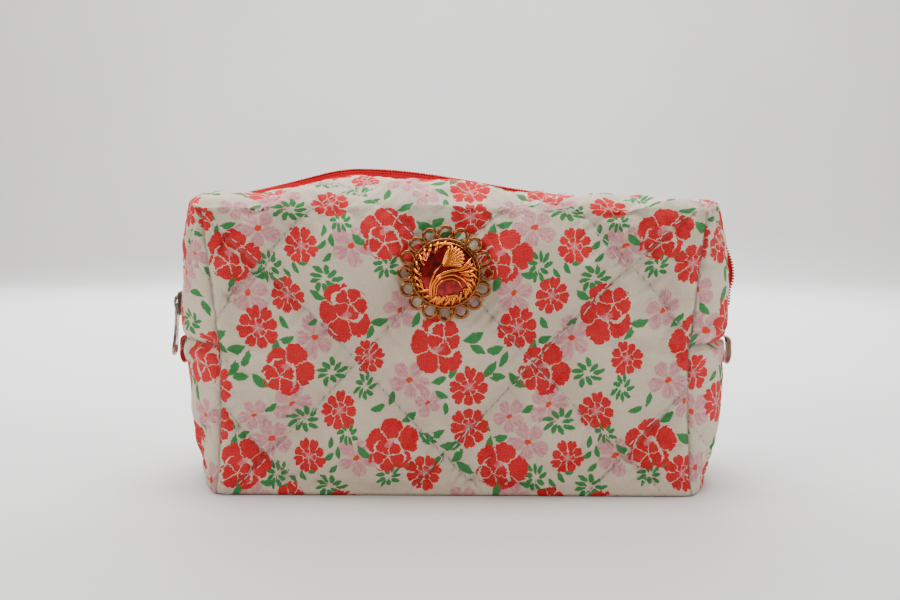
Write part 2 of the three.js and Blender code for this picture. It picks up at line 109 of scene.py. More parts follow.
# How far the zip stands up: on the hump, at each end, at the slider's right stop, and elsewhere on top.
ZIP_RISE, ZIP_LEFT_RISE, ZIP_RIGHT_RISE, ZIP_STOP_RISE, ZIP_SUNK = 3.6, 0.9, 3.6, 2.0, -0.6

# The zip's teeth: the pitch, and each bent bar as its way across, its height and its radius.
TOOTH_DEPTH, TOOTH_PITCH = 1.3, 1.25
TOOTH_BEND = [(3.15, 0.1, 0.32), (2.9, 0.42, 0.496), (1.9, 0.55, 0.496),
              (0.7, 0.5, 0.48), (-0.25, 0.2, 0.528), (-0.55, -0.1, 0.24)]
STITCH_BEND = [(-0.5, 0.25), (-0.36, 0.8), (0, 1), (0.36, 0.8), (0.5, 0.25)]
ROD_SIDES = 6

# The cloth simulation: its length, and how far it may move a point on the faces and on the ends.
SIM_FRAMES = 14
MOST_MOVED, END_MOVED = 2.5, 0.7
SLACK_CLOTH = {"quality": 4, "mass": 0.15, "tension_stiffness": 12, "compression_stiffness": 12,
               "shear_stiffness": 4, "bending_stiffness": 0.02, "shrink_min": -0.045,
               "uniform_pressure_force": 0.35}


# ---- Materials ----

class Num:
    """A number in a node tree, so that a pattern reads as a formula."""

    def __init__(self, tree, socket):
        self.tree = tree
        self.socket = socket

    def op(self, name, *others):
        node = self.tree.nodes.new("ShaderNodeMath")
        node.operation = name
        for i, value in enumerate((self,) + others):
            if isinstance(value, Num):
                self.tree.links.new(value.socket, node.inputs[i])
            else:
                node.inputs[i].default_value = value
        return Num(self.tree, node.outputs[0])

    __add__ = partialmethod(op, "ADD")
    __sub__ = partialmethod(op, "SUBTRACT")
    __mul__ = partialmethod(op, "MULTIPLY")
    __truediv__ = partialmethod(op, "DIVIDE")
    abs = partialmethod(op, "ABSOLUTE")
    cos = partialmethod(op, "COSINE")
    fract = partialmethod(op, "FRACT")
    floor = partialmethod(op, "FLOOR")
    root = partialmethod(op, "SQRT")
    power = partialmethod(op, "POWER")
    angle = partialmethod(op, "ARCTAN2")
    least = partialmethod(op, "MINIMUM")
    most = partialmethod(op, "MAXIMUM")

    def flip(self):
        return self * -1.0 + 1.0

    def clamp(self):
        return self.most(0.0).least(1.0)

    def edge(self, softness):
        """0 outside and 1 inside, where this is the depth inside an edge."""
        return (self / softness + 0.5).clamp()


def material(name):
    made = bpy.data.materials.new(name)
    made.use_nodes = True
    return made, made.node_tree, made.node_tree.nodes["Principled BSDF"]


def in_object(tree):
    return tree.nodes.new("ShaderNodeTexCoord").outputs["Object"]


def finish(tree, shader, colour, roughness, **constants):
    """Wires a shader's colour and roughness, and sets its constants on its own sockets."""
    tree.links.new(colour, shader.inputs["Base Color"])
    tree.links.new(roughness.socket, shader.inputs["Roughness"])
    for name, value in constants.items():
        shader.inputs[SOCKETS[name]].default_value = value


SOCKETS = {"sheen": "Sheen Weight", "specular": "Specular IOR Level", "metallic": "Metallic",
           "coat": "Coat Weight", "coat_roughness": "Coat Roughness"}


def attribute(tree, name):
    node = tree.nodes.new("ShaderNodeAttribute")
    node.attribute_name = name
    split = tree.nodes.new("ShaderNodeSeparateXYZ")
    tree.links.new(node.outputs["Vector"], split.inputs[0])
    return node.outputs["Vector"], [Num(tree, s) for s in split.outputs]


def noise(tree, vector, scale, detail=2.0):
    node = tree.nodes.new("ShaderNodeTexNoise")
    node.inputs["Scale"].default_value = scale
    node.inputs["Detail"].default_value = detail
    tree.links.new(vector, node.inputs["Vector"])
    return Num(tree, node.outputs["Fac"])


def mix(tree, factor, a, b):
    """Colour a where factor is 0 and b where it is 1."""
    node = tree.nodes.new("ShaderNodeMix")
    node.data_type = "RGBA"
    node.clamp_factor = True
    tree.links.new(factor.socket, node.inputs[0])
    for socket, value in ((node.inputs[6], a), (node.inputs[7], b)):
        if isinstance(value, tuple):
            socket.default_value = (*value, 1)
        else:
            tree.links.new(value, socket)
    return node.outputs[2]


def bump(tree, shader, height, distance, strength=1.0):
    node = tree.nodes.new("ShaderNodeBump")
    node.inputs["Distance"].default_value = distance
    node.inputs["Strength"].default_value = strength
    tree.links.new(height.socket, node.inputs["Height"])
    tree.links.new(node.outputs[0], shader.inputs["Normal"])


def reach_of(x, y):
    return (x * x + y * y).root()


def petals(x, y, count, radius, gap, seed, round_off=0.55, swing=0.0):
    """How deep a point is inside a ring of petals, in millimetres."""
    reach = reach_of(x, y)
    turn = y.angle(x) * (count / TAU) + swing
    which = turn.floor()
    across = (turn.fract() - 0.5).abs()
    own = ((which * 2.4 + seed * 9.0).cos() * 0.08 + 0.96) * radius
    tip = own * ((across * 2.0).power(3.0) * -round_off + 1.0)
    side = (across * -1.0 + 0.5) * reach * (TAU / count) - gap
    return (tip - reach).least(side), reach


def scallop(x, y, count, radius, seed, depth):
    """How deep a point is inside a wavy round edge."""
    turn = y.angle(x) * (count / TAU)
    across = (turn.fract() - 0.5).abs() * 2.0
    own = (turn.floor() * 2.4 + seed * 9.0).cos() * 0.04 + 0.98
    return (across.power(4.0) * -depth + 1.0) * radius * own - reach_of(x, y)


def vector(tree, *parts):
    node = tree.nodes.new("ShaderNodeCombineXYZ")
    for i, part in enumerate(parts):
        if isinstance(part, Num):
            tree.links.new(part.socket, node.inputs[i])
        else:
            node.inputs[i].default_value = part
    return node.outputs[0]


def printed_cotton():
    """White cotton printed with red and pink flowers and green leaves, quilted, with an uneven weave."""
    made, tree, shader = material("printed cotton")
    cloth, (u, v, _) = attribute(tree, "cloth")
    wobble = noise(tree, cloth, 0.9, 1.0) * 1.1 - 0.55
    waver = noise(tree, cloth, 0.55, 1.0) * 1.1 - 0.55
    speck = noise(tree, cloth, 3.2, 3.0)
    base = mix(tree, noise(tree, cloth, 0.05, 2.0), (0.77, 0.635, 0.475), (0.86, 0.73, 0.57))
    for printed in (pink_flowers, leaves, small_flowers, big_flowers):
        base = printed(tree, base, wobble, waver, speck)

    _, (across, along, from_seam) = attribute(tree, "quilt")
    # Painted shade: a band along each quilting line's groove is darkened towards brown.
    drawn = (across.abs() * -1.0 + 1.0).clamp()
    hole = ((along / STITCH + 0.5).fract() - 0.5).abs() * STITCH
    hole = (reach_of(across, hole) * -1.0 + 0.36).edge(0.3)
    base = mix(tree, drawn * 0.22, base, (0.40, 0.33, 0.28))
    # Painted shade: each stitch hole is coloured as a dark dot.
    base = mix(tree, hole * 0.6, base, (0.14, 0.09, 0.07))
    # Painted shade: a dark line along the sewn seams.
    base = mix(tree, (from_seam * -0.8 + 1.0).clamp() * 0.55, base, (0.16, 0.11, 0.09))

    # Uneven threads both ways, and the soft fuzz of washed cotton.
    weave = (u * (TAU / 0.42)).cos() * (v * (TAU / 0.42)).cos()
    warp = noise(tree, vector(tree, u * 2.4, v * 0.22, 0.0), 1.0, 2.0)
    weft = noise(tree, vector(tree, u * 0.22, v * 2.4, 5.0), 1.0, 2.0)
    threads = ((warp + weft) * 2.2 - 1.7).clamp()
    base = mix(tree, threads.flip() * 0.17, base, (0.36, 0.26, 0.21))
    slub = noise(tree, cloth, 1.4, 4.0)
    bump(tree, shader, weave * 0.5 + slub * 0.7 + threads * 1.1 - hole * 2.0, 0.20 * MM, 0.9)
    finish(tree, shader, base, slub * 0.15 + 0.78, sheen=0.05, specular=0.12)
    return made


def pink_flowers(tree, base, wobble, waver, speck):
    """Pale pink flowers in brushed strokes, with an orange oval at the middle."""
    _, (x, y, seed) = attribute(tree, "pink")
    x, y = x + wobble * 1.3, y + waver * 1.3
    deep, reach = petals(x, y, 5, 8.9, 0.25, seed, 0.55)
    stroke = noise(tree, vector(tree, y.angle(x) * 9.0, reach * 0.35, seed), 1.0, 3.0)
    wash = deep.edge(0.9) * (stroke * 2.6 - 0.55).clamp() * (speck * 1.2 + 0.35).clamp()
    base = mix(tree, wash.clamp() * 0.92, base, (0.73, 0.18, 0.29))
    dot = (x * x / 1.9 + y * y / 0.95).root() * -1.0 + 1.15
    base = mix(tree, dot.edge(0.2), base, (0.86, 0.05, 0.015))
    return base


def leaves(tree, base, wobble, waver, speck):
    """Green leaves, alone and in sprays."""
    green = mix(tree, (speck * 2.2 - 0.6).clamp(), (0.005, 0.10, 0.022), (0.05, 0.43, 0.115))
    _, (x, y, seed) = attribute(tree, "leaf")
    x, y = x + wobble * 0.8, y + waver * 0.6 + (x * x) * 0.06
    leaf = (x * x / 7.6 * -1.0 + 1.0) * 1.15 - y.abs()
    base = mix(tree, leaf.edge(0.25), base, green)
    _, (x, y, seed) = attribute(tree, "spray")
    x, y = x + wobble * 1.1, (y + waver * 1.1) * 1.3
    reach = reach_of(x, y)
    turn = (y.angle(x) + reach * 0.05) * (9 / TAU)
    along = ((turn.floor() * 2.4 + seed * 7.0).cos() * 0.9 - reach + 4.7).abs() / 2.6
    across = (turn.fract() - 0.5).abs() * reach * (TAU / 9) / 1.28
    leaflet = reach_of(along, across) * -1.0 + 1.0
    base = mix(tree, leaflet.edge(0.2), base, green)
    return base


def red_ink(tree, base, shape, speck):
    """Red print over part of the cloth, thinner in specks."""
    red = mix(tree, (speck * 2.4 - 0.72).clamp(), (0.56, 0.0, 0.005), (0.97, 0.003, 0.021))
    return mix(tree, shape * (((speck - 0.60) * 5.0).clamp() * -0.45 + 1.0), base, red)


def small_flowers(tree, base, wobble, waver, speck):
    """Red flowers of eight notched petals round a heart."""
    _, (x, y, seed) = attribute(tree, "small")
    x, y = x + wobble * 1.2, y + waver * 1.2
    deep, reach = petals(x, y, 8, 8.5, 0.15, seed, 0.25)
    deep = deep.least(scallop(x, y, 16, 8.4, seed, 0.10))
    within = (reach * -1.0 + 3.6).edge(0.1)
    heart, _ = petals(x, y, 6, 3.9, 0.15, seed + 1.0, 0.2, 0.4)
    shape = deep.edge(0.15) * within.flip() + heart.edge(0.15) * within
    base = red_ink(tree, base, shape, speck)
    base = mix(tree, (reach * -1.0 + 1.9).edge(1.0) * 0.6, base, BLUSH)
    return base


def big_flowers(tree, base, wobble, waver, speck):
    """Red flowers of five broad petals, with smaller ones folded over one side."""
    _, (x, y, seed) = attribute(tree, "big")
    x, y = x + wobble * 1.8, y + waver * 1.8
    outer, _ = petals(x, y, 5, 11.9, 0.15, seed, 0.26, 0.2)
    outer = outer.least(scallop(x, y, 10, 12.1, seed, 0.10))
    fx, fy = x + 3.6, y - 2.2
    folded, far = petals(fx, fy, 5, 6.9, 0.16, seed + 1.0, 0.22, 0.6)
    within = (far * -1.0 + 7.1 + (fy.angle(fx) * 5.0 + 2.0).cos() * 0.5).edge(0.1)
    shape = outer.edge(0.15) * within.flip() + folded.edge(0.15) * within
    base = red_ink(tree, base, shape, speck)
    patch = (x * x / 6.0 + (y + 1.4) * (y + 1.4) / 1.6).root() * -1.0 + 1.0
    base = mix(tree, patch.edge(0.3) * 0.7, base, BLUSH)
    return base


def plain_cloth(name, dark, light, thread=0.45, ribs=0.0, sheen=0.2):
    """A plain-weave cloth or tape in cloth coordinates; ribs run along a tape."""
    made, tree, shader = material(name)
    cloth, (u, v, _) = attribute(tree, "cloth")
    slub = noise(tree, cloth, 1.2, 4.0)
    tone = noise(tree, cloth, 0.06, 2.0)
    weave = (u * (TAU / thread)).cos() * (v * (TAU / thread)).cos()
    rib = (v * (TAU / 1.1)).cos() * ribs
    base = mix(tree, (slub * 0.5 + tone * 0.6 - 0.05 + weave * 0.1).clamp(), dark, light)
    bump(tree, shader, weave * 0.5 + slub * 0.5 + rib, 0.15 * MM, 0.7)
    finish(tree, shader, base, slub * 0.15 + 0.72, sheen=sheen, specular=0.12)
    return made


def worn_shaded_metal(name, bright, dark, rough=0.3, grain=900.0, tarnish=160.0, keep=0.5):
    """Plated metal: bright where it is rubbed, duller in its recesses, and darker there with painted shade.
    """
    made, tree, shader = material(name)
    where = in_object(tree)
    fine = noise(tree, where, grain, 3.0)
    patch = noise(tree, where, tarnish, 4.0)
    points = tree.nodes.new("ShaderNodeNewGeometry").outputs["Pointiness"]
    # Wear and painted shade: recesses, found by pointiness, take the dark colour as painted shade, and rubbed
    # edges take the bright one.
    wear_and_shade = ((Num(tree, points) - 0.5) * 9.0 + keep + (patch - 0.5) * 0.9).clamp()
    bump(tree, shader, fine * 0.6 + patch * 0.4, 0.04 * MM, 0.5)
    worn = wear_and_shade * -0.18 + (patch * 0.12 + rough + 0.1)
    finish(tree, shader, mix(tree, wear_and_shade, dark, bright), worn, metallic=1.0)
    return made


def nylon(name, dark, light):
    made, tree, shader = material(name)
    where = in_object(tree)
    tone = noise(tree, where, 500.0, 2.0)
    bump(tree, shader, tone, 0.03 * MM, 0.4)
    finish(tree, shader, mix(tree, tone, dark, light), tone * 0.2 + 0.38, specular=0.22)
    return made


def foiled_glass():
    made, tree, shader = material("red foiled glass")
    where = in_object(tree)
    flake = noise(tree, where, 420.0, 3.0)
    cloud = noise(tree, where, 90.0, 2.0)
    tint = mix(tree, (flake * 2.2 + cloud - 1.15).clamp(), (0.055, 0.0, 0.001), (0.50, 0.006, 0.006))
    bump(tree, shader, flake + cloud, 0.35 * MM, 0.6)
    finish(tree, shader, tint, flake * 0.06 + 0.05, metallic=0.8, coat=0.35, coat_roughness=0.03)
    return made


def painted_floor():
    made, tree, shader = material("pale floor")
    where = in_object(tree)
    tone = noise(tree, where, 3.0, 3.0)
    tree.links.new(mix(tree, tone, (0.62, 0.61, 0.60), (0.70, 0.69, 0.68)), shader.inputs["Base Color"])
    shader.inputs["Roughness"].default_value = 0.7
    return made


# ---- The pouch's shape ----

def eased(stations):
    """A smooth profile through stations, as a function of height."""
    heights = np.linspace(-20, HEIGHT + 20, 560)
    values = np.interp(heights, *zip(*stations))
    window = np.hanning(33)
    padded = np.pad(values, 16, mode="edge")
    smooth = np.convolve(padded, window / window.sum(), mode="valid")
    return lambda z: np.interp(z, heights, smooth)


seam_half = eased(SEAM_HALF)
end_half = eased(END_HALF)


def ease(t):
    t = np.clip(t, 0, 1)
    return t * t * (3 - 2 * t)


def hump_share(x):
    """How much of the top's rise there is along the bag."""
    return np.exp(-(((x - HUMP_X) / np.where(x < HUMP_X, HUMP_LEFT, HUMP_RIGHT)) ** 2))


def by_row(values):
    """Each row as a direction of length 1."""
    return values / np.linalg.norm(values, axis=1, keepdims=True)


def run_along(line):
    """How far along a line of points each point is."""
    return np.concatenate([[0], np.cumsum(np.linalg.norm(np.diff(line, axis=0), axis=1))])


def points_at(where, along, line):
    return np.column_stack([np.interp(where, along, column) for column in line.T])


def smooth_line(points, count, rounds):
    """A line through a few points, at an even count and with its corners eased."""
    rough = np.array(points, float)
    line = points_at(np.linspace(0, len(rough) - 1, count), range(len(rough)), rough)
    for _ in range(rounds):
        line[1:-1] = (line[:-2] + line[2:] + 2 * line[1:-1]) / 4
    return line


def polar(radius, turn):
    return radius * math.cos(turn), radius * math.sin(turn)


def swell(p):
    """Plain rounded box to pouch: pinched seams, bulging ends, a swollen front and a crown."""
    x, y, z = p.T
    side = np.maximum(0, np.abs(y) - FLAT_BAND) / (HALF_DEPTH - FLAT_BAND)
    middle = np.maximum(0, 1 - side**2)
    reach = ease((np.abs(x) - HALF_LENGTH + END_REACH) / END_EASE)
    seam = seam_half(z)
    bulge = (end_half(z) - seam) * middle * reach
    along = np.maximum(0, 1 - (x / HALF_LENGTH) ** 2)
    hump = CROWN + HUMP * hump_share(x)
    return np.column_stack([
        x * seam / HALF_LENGTH + np.sign(x) * bulge,
        y * (1 + FRONT_SWELL / HALF_DEPTH * along * np.sin(np.pi * np.clip(z / HEIGHT, 0, 1))),
        z + hump * middle * ease((z - HUMP_FOOT) / (HEIGHT - HUMP_FOOT)),
    ])


def place(p, depth):
    """Points of the plain box's skin in millimetres, taken inwards by depth and then swollen."""
    p = np.atleast_2d(np.asarray(p, float))
    low = np.array([EDGE_RADIUS - HALF_LENGTH, EDGE_RADIUS - HALF_DEPTH, EDGE_RADIUS])
    high = np.array([HALF_LENGTH - EDGE_RADIUS, HALF_DEPTH - EDGE_RADIUS, HEIGHT - EDGE_RADIUS])
    inner = np.clip(p, low, high)
    out = by_row(p - inner)
    fill = EDGE_FILL + (BOTTOM_FILL - EDGE_FILL) * (1 - ease(p[:, 2] / 20))
    corner = fill * (1 / np.maximum(np.abs(out).max(axis=1), 0.6) - 1)
    return swell(inner + out * (EDGE_RADIUS + corner - np.asarray(depth))[..., None])


def flat_cloth(face, p):
    """Where a point of the skin lies on the flat cloth: along the bag, and down from the front top fold."""
    x, y, z = p.T
    if face == "front":
        return np.column_stack([x, HEIGHT - z])
    if face == "back":
        return np.column_stack([x, HEIGHT + 2 * HALF_DEPTH + z])
    if face == "top":
        rear = y > 0
        front_v = -(y + HALF_DEPTH)
        back_v = 2 * HEIGHT + 2 * HALF_DEPTH + (HALF_DEPTH - y)
        return np.column_stack([x, np.where(rear, back_v, front_v)])
    if face == "bottom":
        return np.column_stack([x, HEIGHT + y + HALF_DEPTH])
    side = -1 if face == "left" else 1
    upper = z.mean() > SPLIT_Z
    past = HEIGHT - z if upper else z
    rear = y.mean() > 0
    high_v = 2 * HEIGHT + 3 * HALF_DEPTH - y if rear else -(y + HALF_DEPTH)
    return np.column_stack([side * (HALF_LENGTH + past), high_v if upper else HEIGHT + y + HALF_DEPTH])


def skin_cells(xs, ys, zs, keep):
    """The kept cells of the box's skin: corner points, and per cell its corner numbers and face."""
    points, index, cells, faces = [], {}, [], []

    def number(p):
        key = (round(p[0], 3), round(p[1], 3), round(p[2], 3))
        if key not in index:
            index[key] = len(points)
            points.append(p)
        return index[key]

    def fill(face, make, us, vs):
        for u0, u1 in zip(us[:-1], us[1:]):
            for v0, v1 in zip(vs[:-1], vs[1:]):
                quad = [make(u0, v0), make(u1, v0), make(u1, v1), make(u0, v1)]
                if keep(face, np.mean(quad, axis=0)):
                    cells.append([number(p) for p in quad])
                    faces.append(face)

    fill("front", lambda u, v: (u, -HALF_DEPTH, v), xs, zs)
    fill("back", lambda u, v: (v, HALF_DEPTH, u), zs, xs)
    fill("left", lambda u, v: (-HALF_LENGTH, v, u), zs, ys)
    fill("right", lambda u, v: (HALF_LENGTH, u, v), ys, zs)
    fill("top", lambda u, v: (u, v, HEIGHT), xs, ys)
    fill("bottom", lambda u, v: (v, u, 0), ys, xs)
    return np.array(points, float), np.array(cells), np.array(faces)


def corner_cloth(points, cells, faces):
    """Flat-cloth place of every cell's corners."""
    flat = np.zeros((len(cells), 4, 2))
    for face in np.unique(faces):
        for group in cloth_groups(face):
            chosen = np.where((faces == face) & group(points[cells].mean(axis=1)))[0]
            if len(chosen):
                corners = points[cells[chosen]].reshape(-1, 3)
                flat[chosen] = flat_cloth(face, corners).reshape(-1, 4, 2)
    return flat


def cloth_groups(face):
    if face not in ("left", "right"):
        return [lambda c: c[:, 1] <= 0, lambda c: c[:, 1] > 0]
    return [
        lambda c, up=up, rear=rear: ((c[:, 2] > SPLIT_Z) == up) & ((c[:, 1] > 0) == rear)
        for up in (False, True) for rear in (False, True)
    ]


def add_piece(name, data, surface=None):
    made = bpy.data.objects.new(name, data)
    bpy.context.collection.objects.link(made)
    if surface:
        data.materials.append(surface)
    return made


def smooth(mesh):
    mesh.polygons.foreach_set("use_smooth", [True] * len(mesh.polygons))


def mesh_object(name, points, cells, surface, scale=MM):
    mesh = bpy.data.meshes.new(name)
    mesh.from_pydata((np.asarray(points) * scale).tolist(), [], [list(map(int, c)) for c in cells])
    mesh.update()
    smooth(mesh)
    return add_piece(name, mesh, surface)


def corner_vectors(obj, name, values):
    layer = obj.data.attributes.new(name, "FLOAT_VECTOR", "CORNER")
    layer.data.foreach_set("vector", np.ascontiguousarray(values, dtype=np.float32).reshape(-1))


def cloth_layers(made, flat, motifs=None):
    """Each cell corner's place on the flat cloth and, where it is printed, from its nearest motifs."""
    corner_vectors(made, "cloth", np.dstack([flat, np.zeros(flat.shape[:2])]))
    for name, table in (motifs or {}).items():
        corner_vectors(made, name, motif_coordinates(flat, table))


def flat_by_point(points, cells, flat):
    result = np.zeros((len(points), 2))
    result[cells.reshape(-1)] = flat.reshape(-1, 2)
    return result


def grid_cells(columns, rows, flip):
    """The cells of a grid of points that is stored column by column."""
    cells = [[i * rows + j, (i + 1) * rows + j, (i + 1) * rows + j + 1, i * rows + j + 1]
             for i in range(columns - 1) for j in range(rows - 1)]
    return np.array([c[::-1] for c in cells] if flip else cells)


def rods(name, spines, surface):
    """Many short round bars as one mesh. A spine's rings are a centre, two directions and a radius."""
    points, cells = [], []
    for spine in spines:
        first = len(points)
        last = first + (len(spine) - 1) * ROD_SIDES
        for centre, right, up, radius in spine:
            for turn in TAU * np.arange(ROD_SIDES) / ROD_SIDES:
                points.append(centre + (right * math.cos(turn) + up * math.sin(turn)) * radius)
        for ring in range(first, last, ROD_SIDES):
            for k in range(ROD_SIDES):
                a, b = ring + k, ring + (k + 1) % ROD_SIDES
                cells.append([a, b, b + ROD_SIDES, a + ROD_SIDES])
        cells.append(range(first + ROD_SIDES - 1, first - 1, -1))
        cells.append(range(last, last + ROD_SIDES))
    return mesh_object(name, points, cells, surface)


# ---- The print ----

# One repeat of the print in millimetres: along, down, turn in degrees, scale.
BIG = [(84, 4, 20, 1.0), (16, 27, 200, 1.05), (36, 81, 40, 1.0), (103, 50, 10, 1.0), (56, 40, 190, 1.05)]
SMALL = [(0, 0, 0, .92), (105, 20, 60, .92), (26, 45, 130, .88), (13, 67, 200, .98), (70, 57, 20, 1.05),
         (91, 33, 80, 1.1), (70, 74, 250, 1.05), (50, 7, 310, 1.0)]
PINK = [(96, 79, 10, 1), (89, 19, 50, 1), (44, 54, 20, 1), (52, 63, 70, .75), (2, 37, 0, 1), (105, 64, 40, 1),
        (88, 69, 15, .8), (21, 0, 30, 1), (40, 26, 60, .9), (66, 20, 5, .85)]
SPRAY = [(9, 13, 0, 1), (99, 8, 90, .9), (9, 51, 10, 1), (24, 57, 80, .85), (110, 71, 5, 1),
         (17, 76, 100, .8), (35, 8, 40, .85)]
LEAF = [(72, 37, 20, 1.8), (73, 41, -40, 1.6), (81, 42, 10, 1.6), (85, 46, 60, 1.5), (79, 50, 50, 1.7),
        (82, 53, -8, 1.6), (91, 55, -35, 1.8), (52, 79, -25, 1.8), (56, 77, 20, 1.4), (62, 82, 5, 1.8),
        (65, 86, 50, 1.5), (68, 5, -35, 1.8), (56, 2, 30, 1.5), (79, 81, 70, 1.4), (84, 78, 12, 1.3),
        (82, 15, 70, 1.5), (95, 12, -5, 1.3), (13, 84, -80, 1.0), (11, 5, 40, 1.0), (110, 9, -60, 1.0),
        (1, 7, 15, .9), (106, 11, -50, .9), (103, 14, 15, .9), (102, 31, -55, 1.2), (2, 31, 30, 1.0),
        (63, 50, 75, 1.4), (57, 54, 20, 1.3), (58, 60, -30, 1.3), (60, 66, 85, 1.1), (98, 41, 70, 1.4),
        (103, 38, 15, 1.3), (44, 70, 35, 1.5), (77, 73, -55, 1.2), (10, 80, 80, 1.0), (9, 0, 35, 1.1),
        (31, 31, 10, 1.5), (27, 35, 60, 1.2), (5, 20, -30, 1.4), (47, 30, 60, 1.3), (30, 66, 20, 1.3),
        (24, 84, -40, 1.4), (44, 90, 10, 1.3), (96, 66, 30, 1.2), (36, 62, 75, 1.2)]
PRINT = {"big": BIG, "small": SMALL, "pink": PINK, "spray": SPRAY, "leaf": LEAF}


def nearest(choices):
    """Per cell, the corner values of the nearest choice, from pairs of distances and values."""
    result, best = None, None
    for distance, values in choices:
        if best is None:
            result, best = values.copy(), distance.copy()
        nearer = distance < best
        result[nearer] = values[nearer]
        best[nearer] = distance[nearer]
    return result


def motif_coordinates(flat, motifs):
    """Per cell corner: its place in the frame of the motif nearest to the cell, and that motif's seed."""
    spot = flat - np.array(PRINT_ORIGIN)
    middle = spot.mean(axis=1)
    choices = []
    for place_in_table, (mx, my, turn, scale) in enumerate(motifs):
        shift = np.round((middle - (mx, my)) / REPEAT) * REPEAT
        offset = (spot - shift[:, None, :] - (mx, my)) / scale
        cos, sin = polar(1, math.radians(turn))
        x, y = offset[..., 0], offset[..., 1]
        seed = np.full(x.shape, (place_in_table * 0.37) % 1)
        local = np.stack([x * cos - y * sin, x * sin + y * cos, seed], axis=-1)
        choices.append((np.linalg.norm(offset.mean(axis=1), axis=1), local))
    return nearest(choices)


# ---- Quilted cover ----

def line_distance(value, offset):
    """How far a place is from the nearest of one family of quilting lines."""
    return np.abs((value - offset + QUILT_PITCH / 2) % QUILT_PITCH - QUILT_PITCH / 2) / math.sqrt(2)


def quilt_distance(flat):
    """How far a point of the flat cloth is from the nearest quilting line."""
    u, v = flat[..., 0], flat[..., 1]
    return np.minimum(*(line_distance(u + slope * v, offset) for slope, offset in QUILTING))


def quilt_coordinates(flat, from_seam):
    """Per cell corner: distance to the cell's nearest quilting line, place along it, distance to a seam."""
    choices = []
    along = (flat[..., 0] + HALF_LENGTH - 1) * math.sqrt(2)
    for slope, offset in QUILTING:
        value = flat[..., 0] + slope * flat[..., 1]
        line = offset + np.round((value.mean(axis=1) - offset) / QUILT_PITCH) * QUILT_PITCH
        signed = (value - line[:, None]) / math.sqrt(2)
        choices.append((np.abs(signed.mean(axis=1)), np.stack([signed, along, from_seam], axis=-1)))
    return nearest(choices)


def seam_distance(p):
    """How far a point of the skin is from a sewn seam: the upright ones and the one across each end."""
    x, y, z = np.abs(p[:, 0]), np.abs(p[:, 1]), p[:, 2]
    upright = (HALF_LENGTH - x) + (HALF_DEPTH - y)
    across = np.where(x > HALF_LENGTH - 0.01, np.abs(z - SPLIT_Z), 1e3)
    return upright, across


def ripple(p, scale, seed, axis=None):
    """Smooth seeded noise from a few waves."""
    waves = np.random.default_rng(seed)
    total = np.zeros(len(p))
    for _ in range(9):
        way = waves.normal(size=3)
        if axis is not None:
            way[axis] *= 3.5
        way /= np.linalg.norm(way)
        total += np.sin(p @ way * TAU / (scale * waves.uniform(0.6, 1.6)) + waves.uniform(0, TAU))
    return total / 4


def pressed(points, flat_of_point):
    """Height of the quilted cloth over the plain shape, before the cloth is simulated."""
    d = quilt_distance(flat_of_point)
    upright, across = seam_distance(points)
    puff = PUFF * (1 - np.exp(-((d / 9) ** 2))) - PUFF * 0.75
    groove = -0.9 * np.exp(-((d / 1.5) ** 2))
    near = np.minimum(upright, across)
    seam = -2.2 * np.exp(-((near / 1.5) ** 2)) + 0.5 * np.exp(-(((near - 5) / 3) ** 2))
    tug = ripple(points, 12.0, 11, axis=2) * 0.9 * np.exp(-((near / 14) ** 2)) * (near > 0.5)
    pinch = np.exp(-((upright / 17) ** 2) - ((points[:, 2] - SPLIT_Z) / 13) ** 2)
    tug = tug - 1.3 * pinch * np.cos((points[:, 2] - SPLIT_Z) * (TAU / 9.5))
    slack = ripple(points, 46.0, 5) * 0.8 + ripple(points, 24.0, 8) * 0.4
    total = puff * ease(near / 10) + puckers(flat_of_point) + groove + seam + tug + slack
    return total * ease(points[:, 2] / 6)


def puckers(flat):
    """Small folds that run out sideways from the quilting lines."""
    u, v = flat.T
    total = 0
    for slope, offset in QUILTING:
        value = u + slope * v
        along = (u - slope * v) / math.sqrt(2)
        wave = sum(np.sin(along * TAU / length + phase + np.sin(value * 0.05) * 2)
                   for length, phase in ((8.3, 0.4), (5.7, 2.1), (13.1, 4.0), (4.4, 1.0)))
        total = total + wave * 0.24 * np.exp(-((line_distance(value, offset) / 7) ** 2))
    return total


def side_lines():
    step = 1.45
    flap = np.linspace(-HALF_DEPTH, -SLOT_HALF, round((HALF_DEPTH - SLOT_HALF) / step) + 1)
    middle = np.linspace(-SLOT_HALF, 0, 5)[1:]
    return np.concatenate([flap, middle])


def cover(side):
    """Half of the outer cloth, from the middle of the bottom, up the face and the ends, to the zip."""
    ys = side_lines() if side == "front" else -side_lines()[::-1]
    xs = np.linspace(-HALF_LENGTH, HALF_LENGTH, 145)
    zs = np.concatenate([np.linspace(0, SPLIT_Z, 43), np.linspace(SPLIT_Z, HEIGHT, 39)[1:]])

    def keep(face, c):
        if face in ("front", "back"):
            return face == side
        if face == "top" or (face in ("left", "right") and c[2] > SPLIT_Z):
            return abs(c[1]) > SLOT_HALF
        return True

    points, cells, faces = skin_cells(xs, ys, zs, keep)
    flat = corner_cloth(points, cells, faces)
    flat_of_point = flat_by_point(points, cells, flat)
    height = pressed(points, flat_of_point)
    from_zip = np.abs(points[:, 1]) - SLOT_HALF
    opening = points[:, 2] > SPLIT_Z - 1
    flap = np.exp(-((from_zip / 12.0) ** 2)) * opening
    edge = np.exp(-((from_zip / 1.4) ** 2)) * opening
    height = height * (1 - flap) - zip_dip(points) - edge * 0.7
    made = mesh_object(f"cover_{side}", place(points, -height), cells, PRINTED)
    cloth_layers(made, flat, PRINT)
    from_seam = np.minimum(*seam_distance(points))[cells]
    corner_vectors(made, "quilt", quilt_coordinates(flat, from_seam))
    drape(made, points, flat_of_point)
    return thicken(made, COVER_THICK)


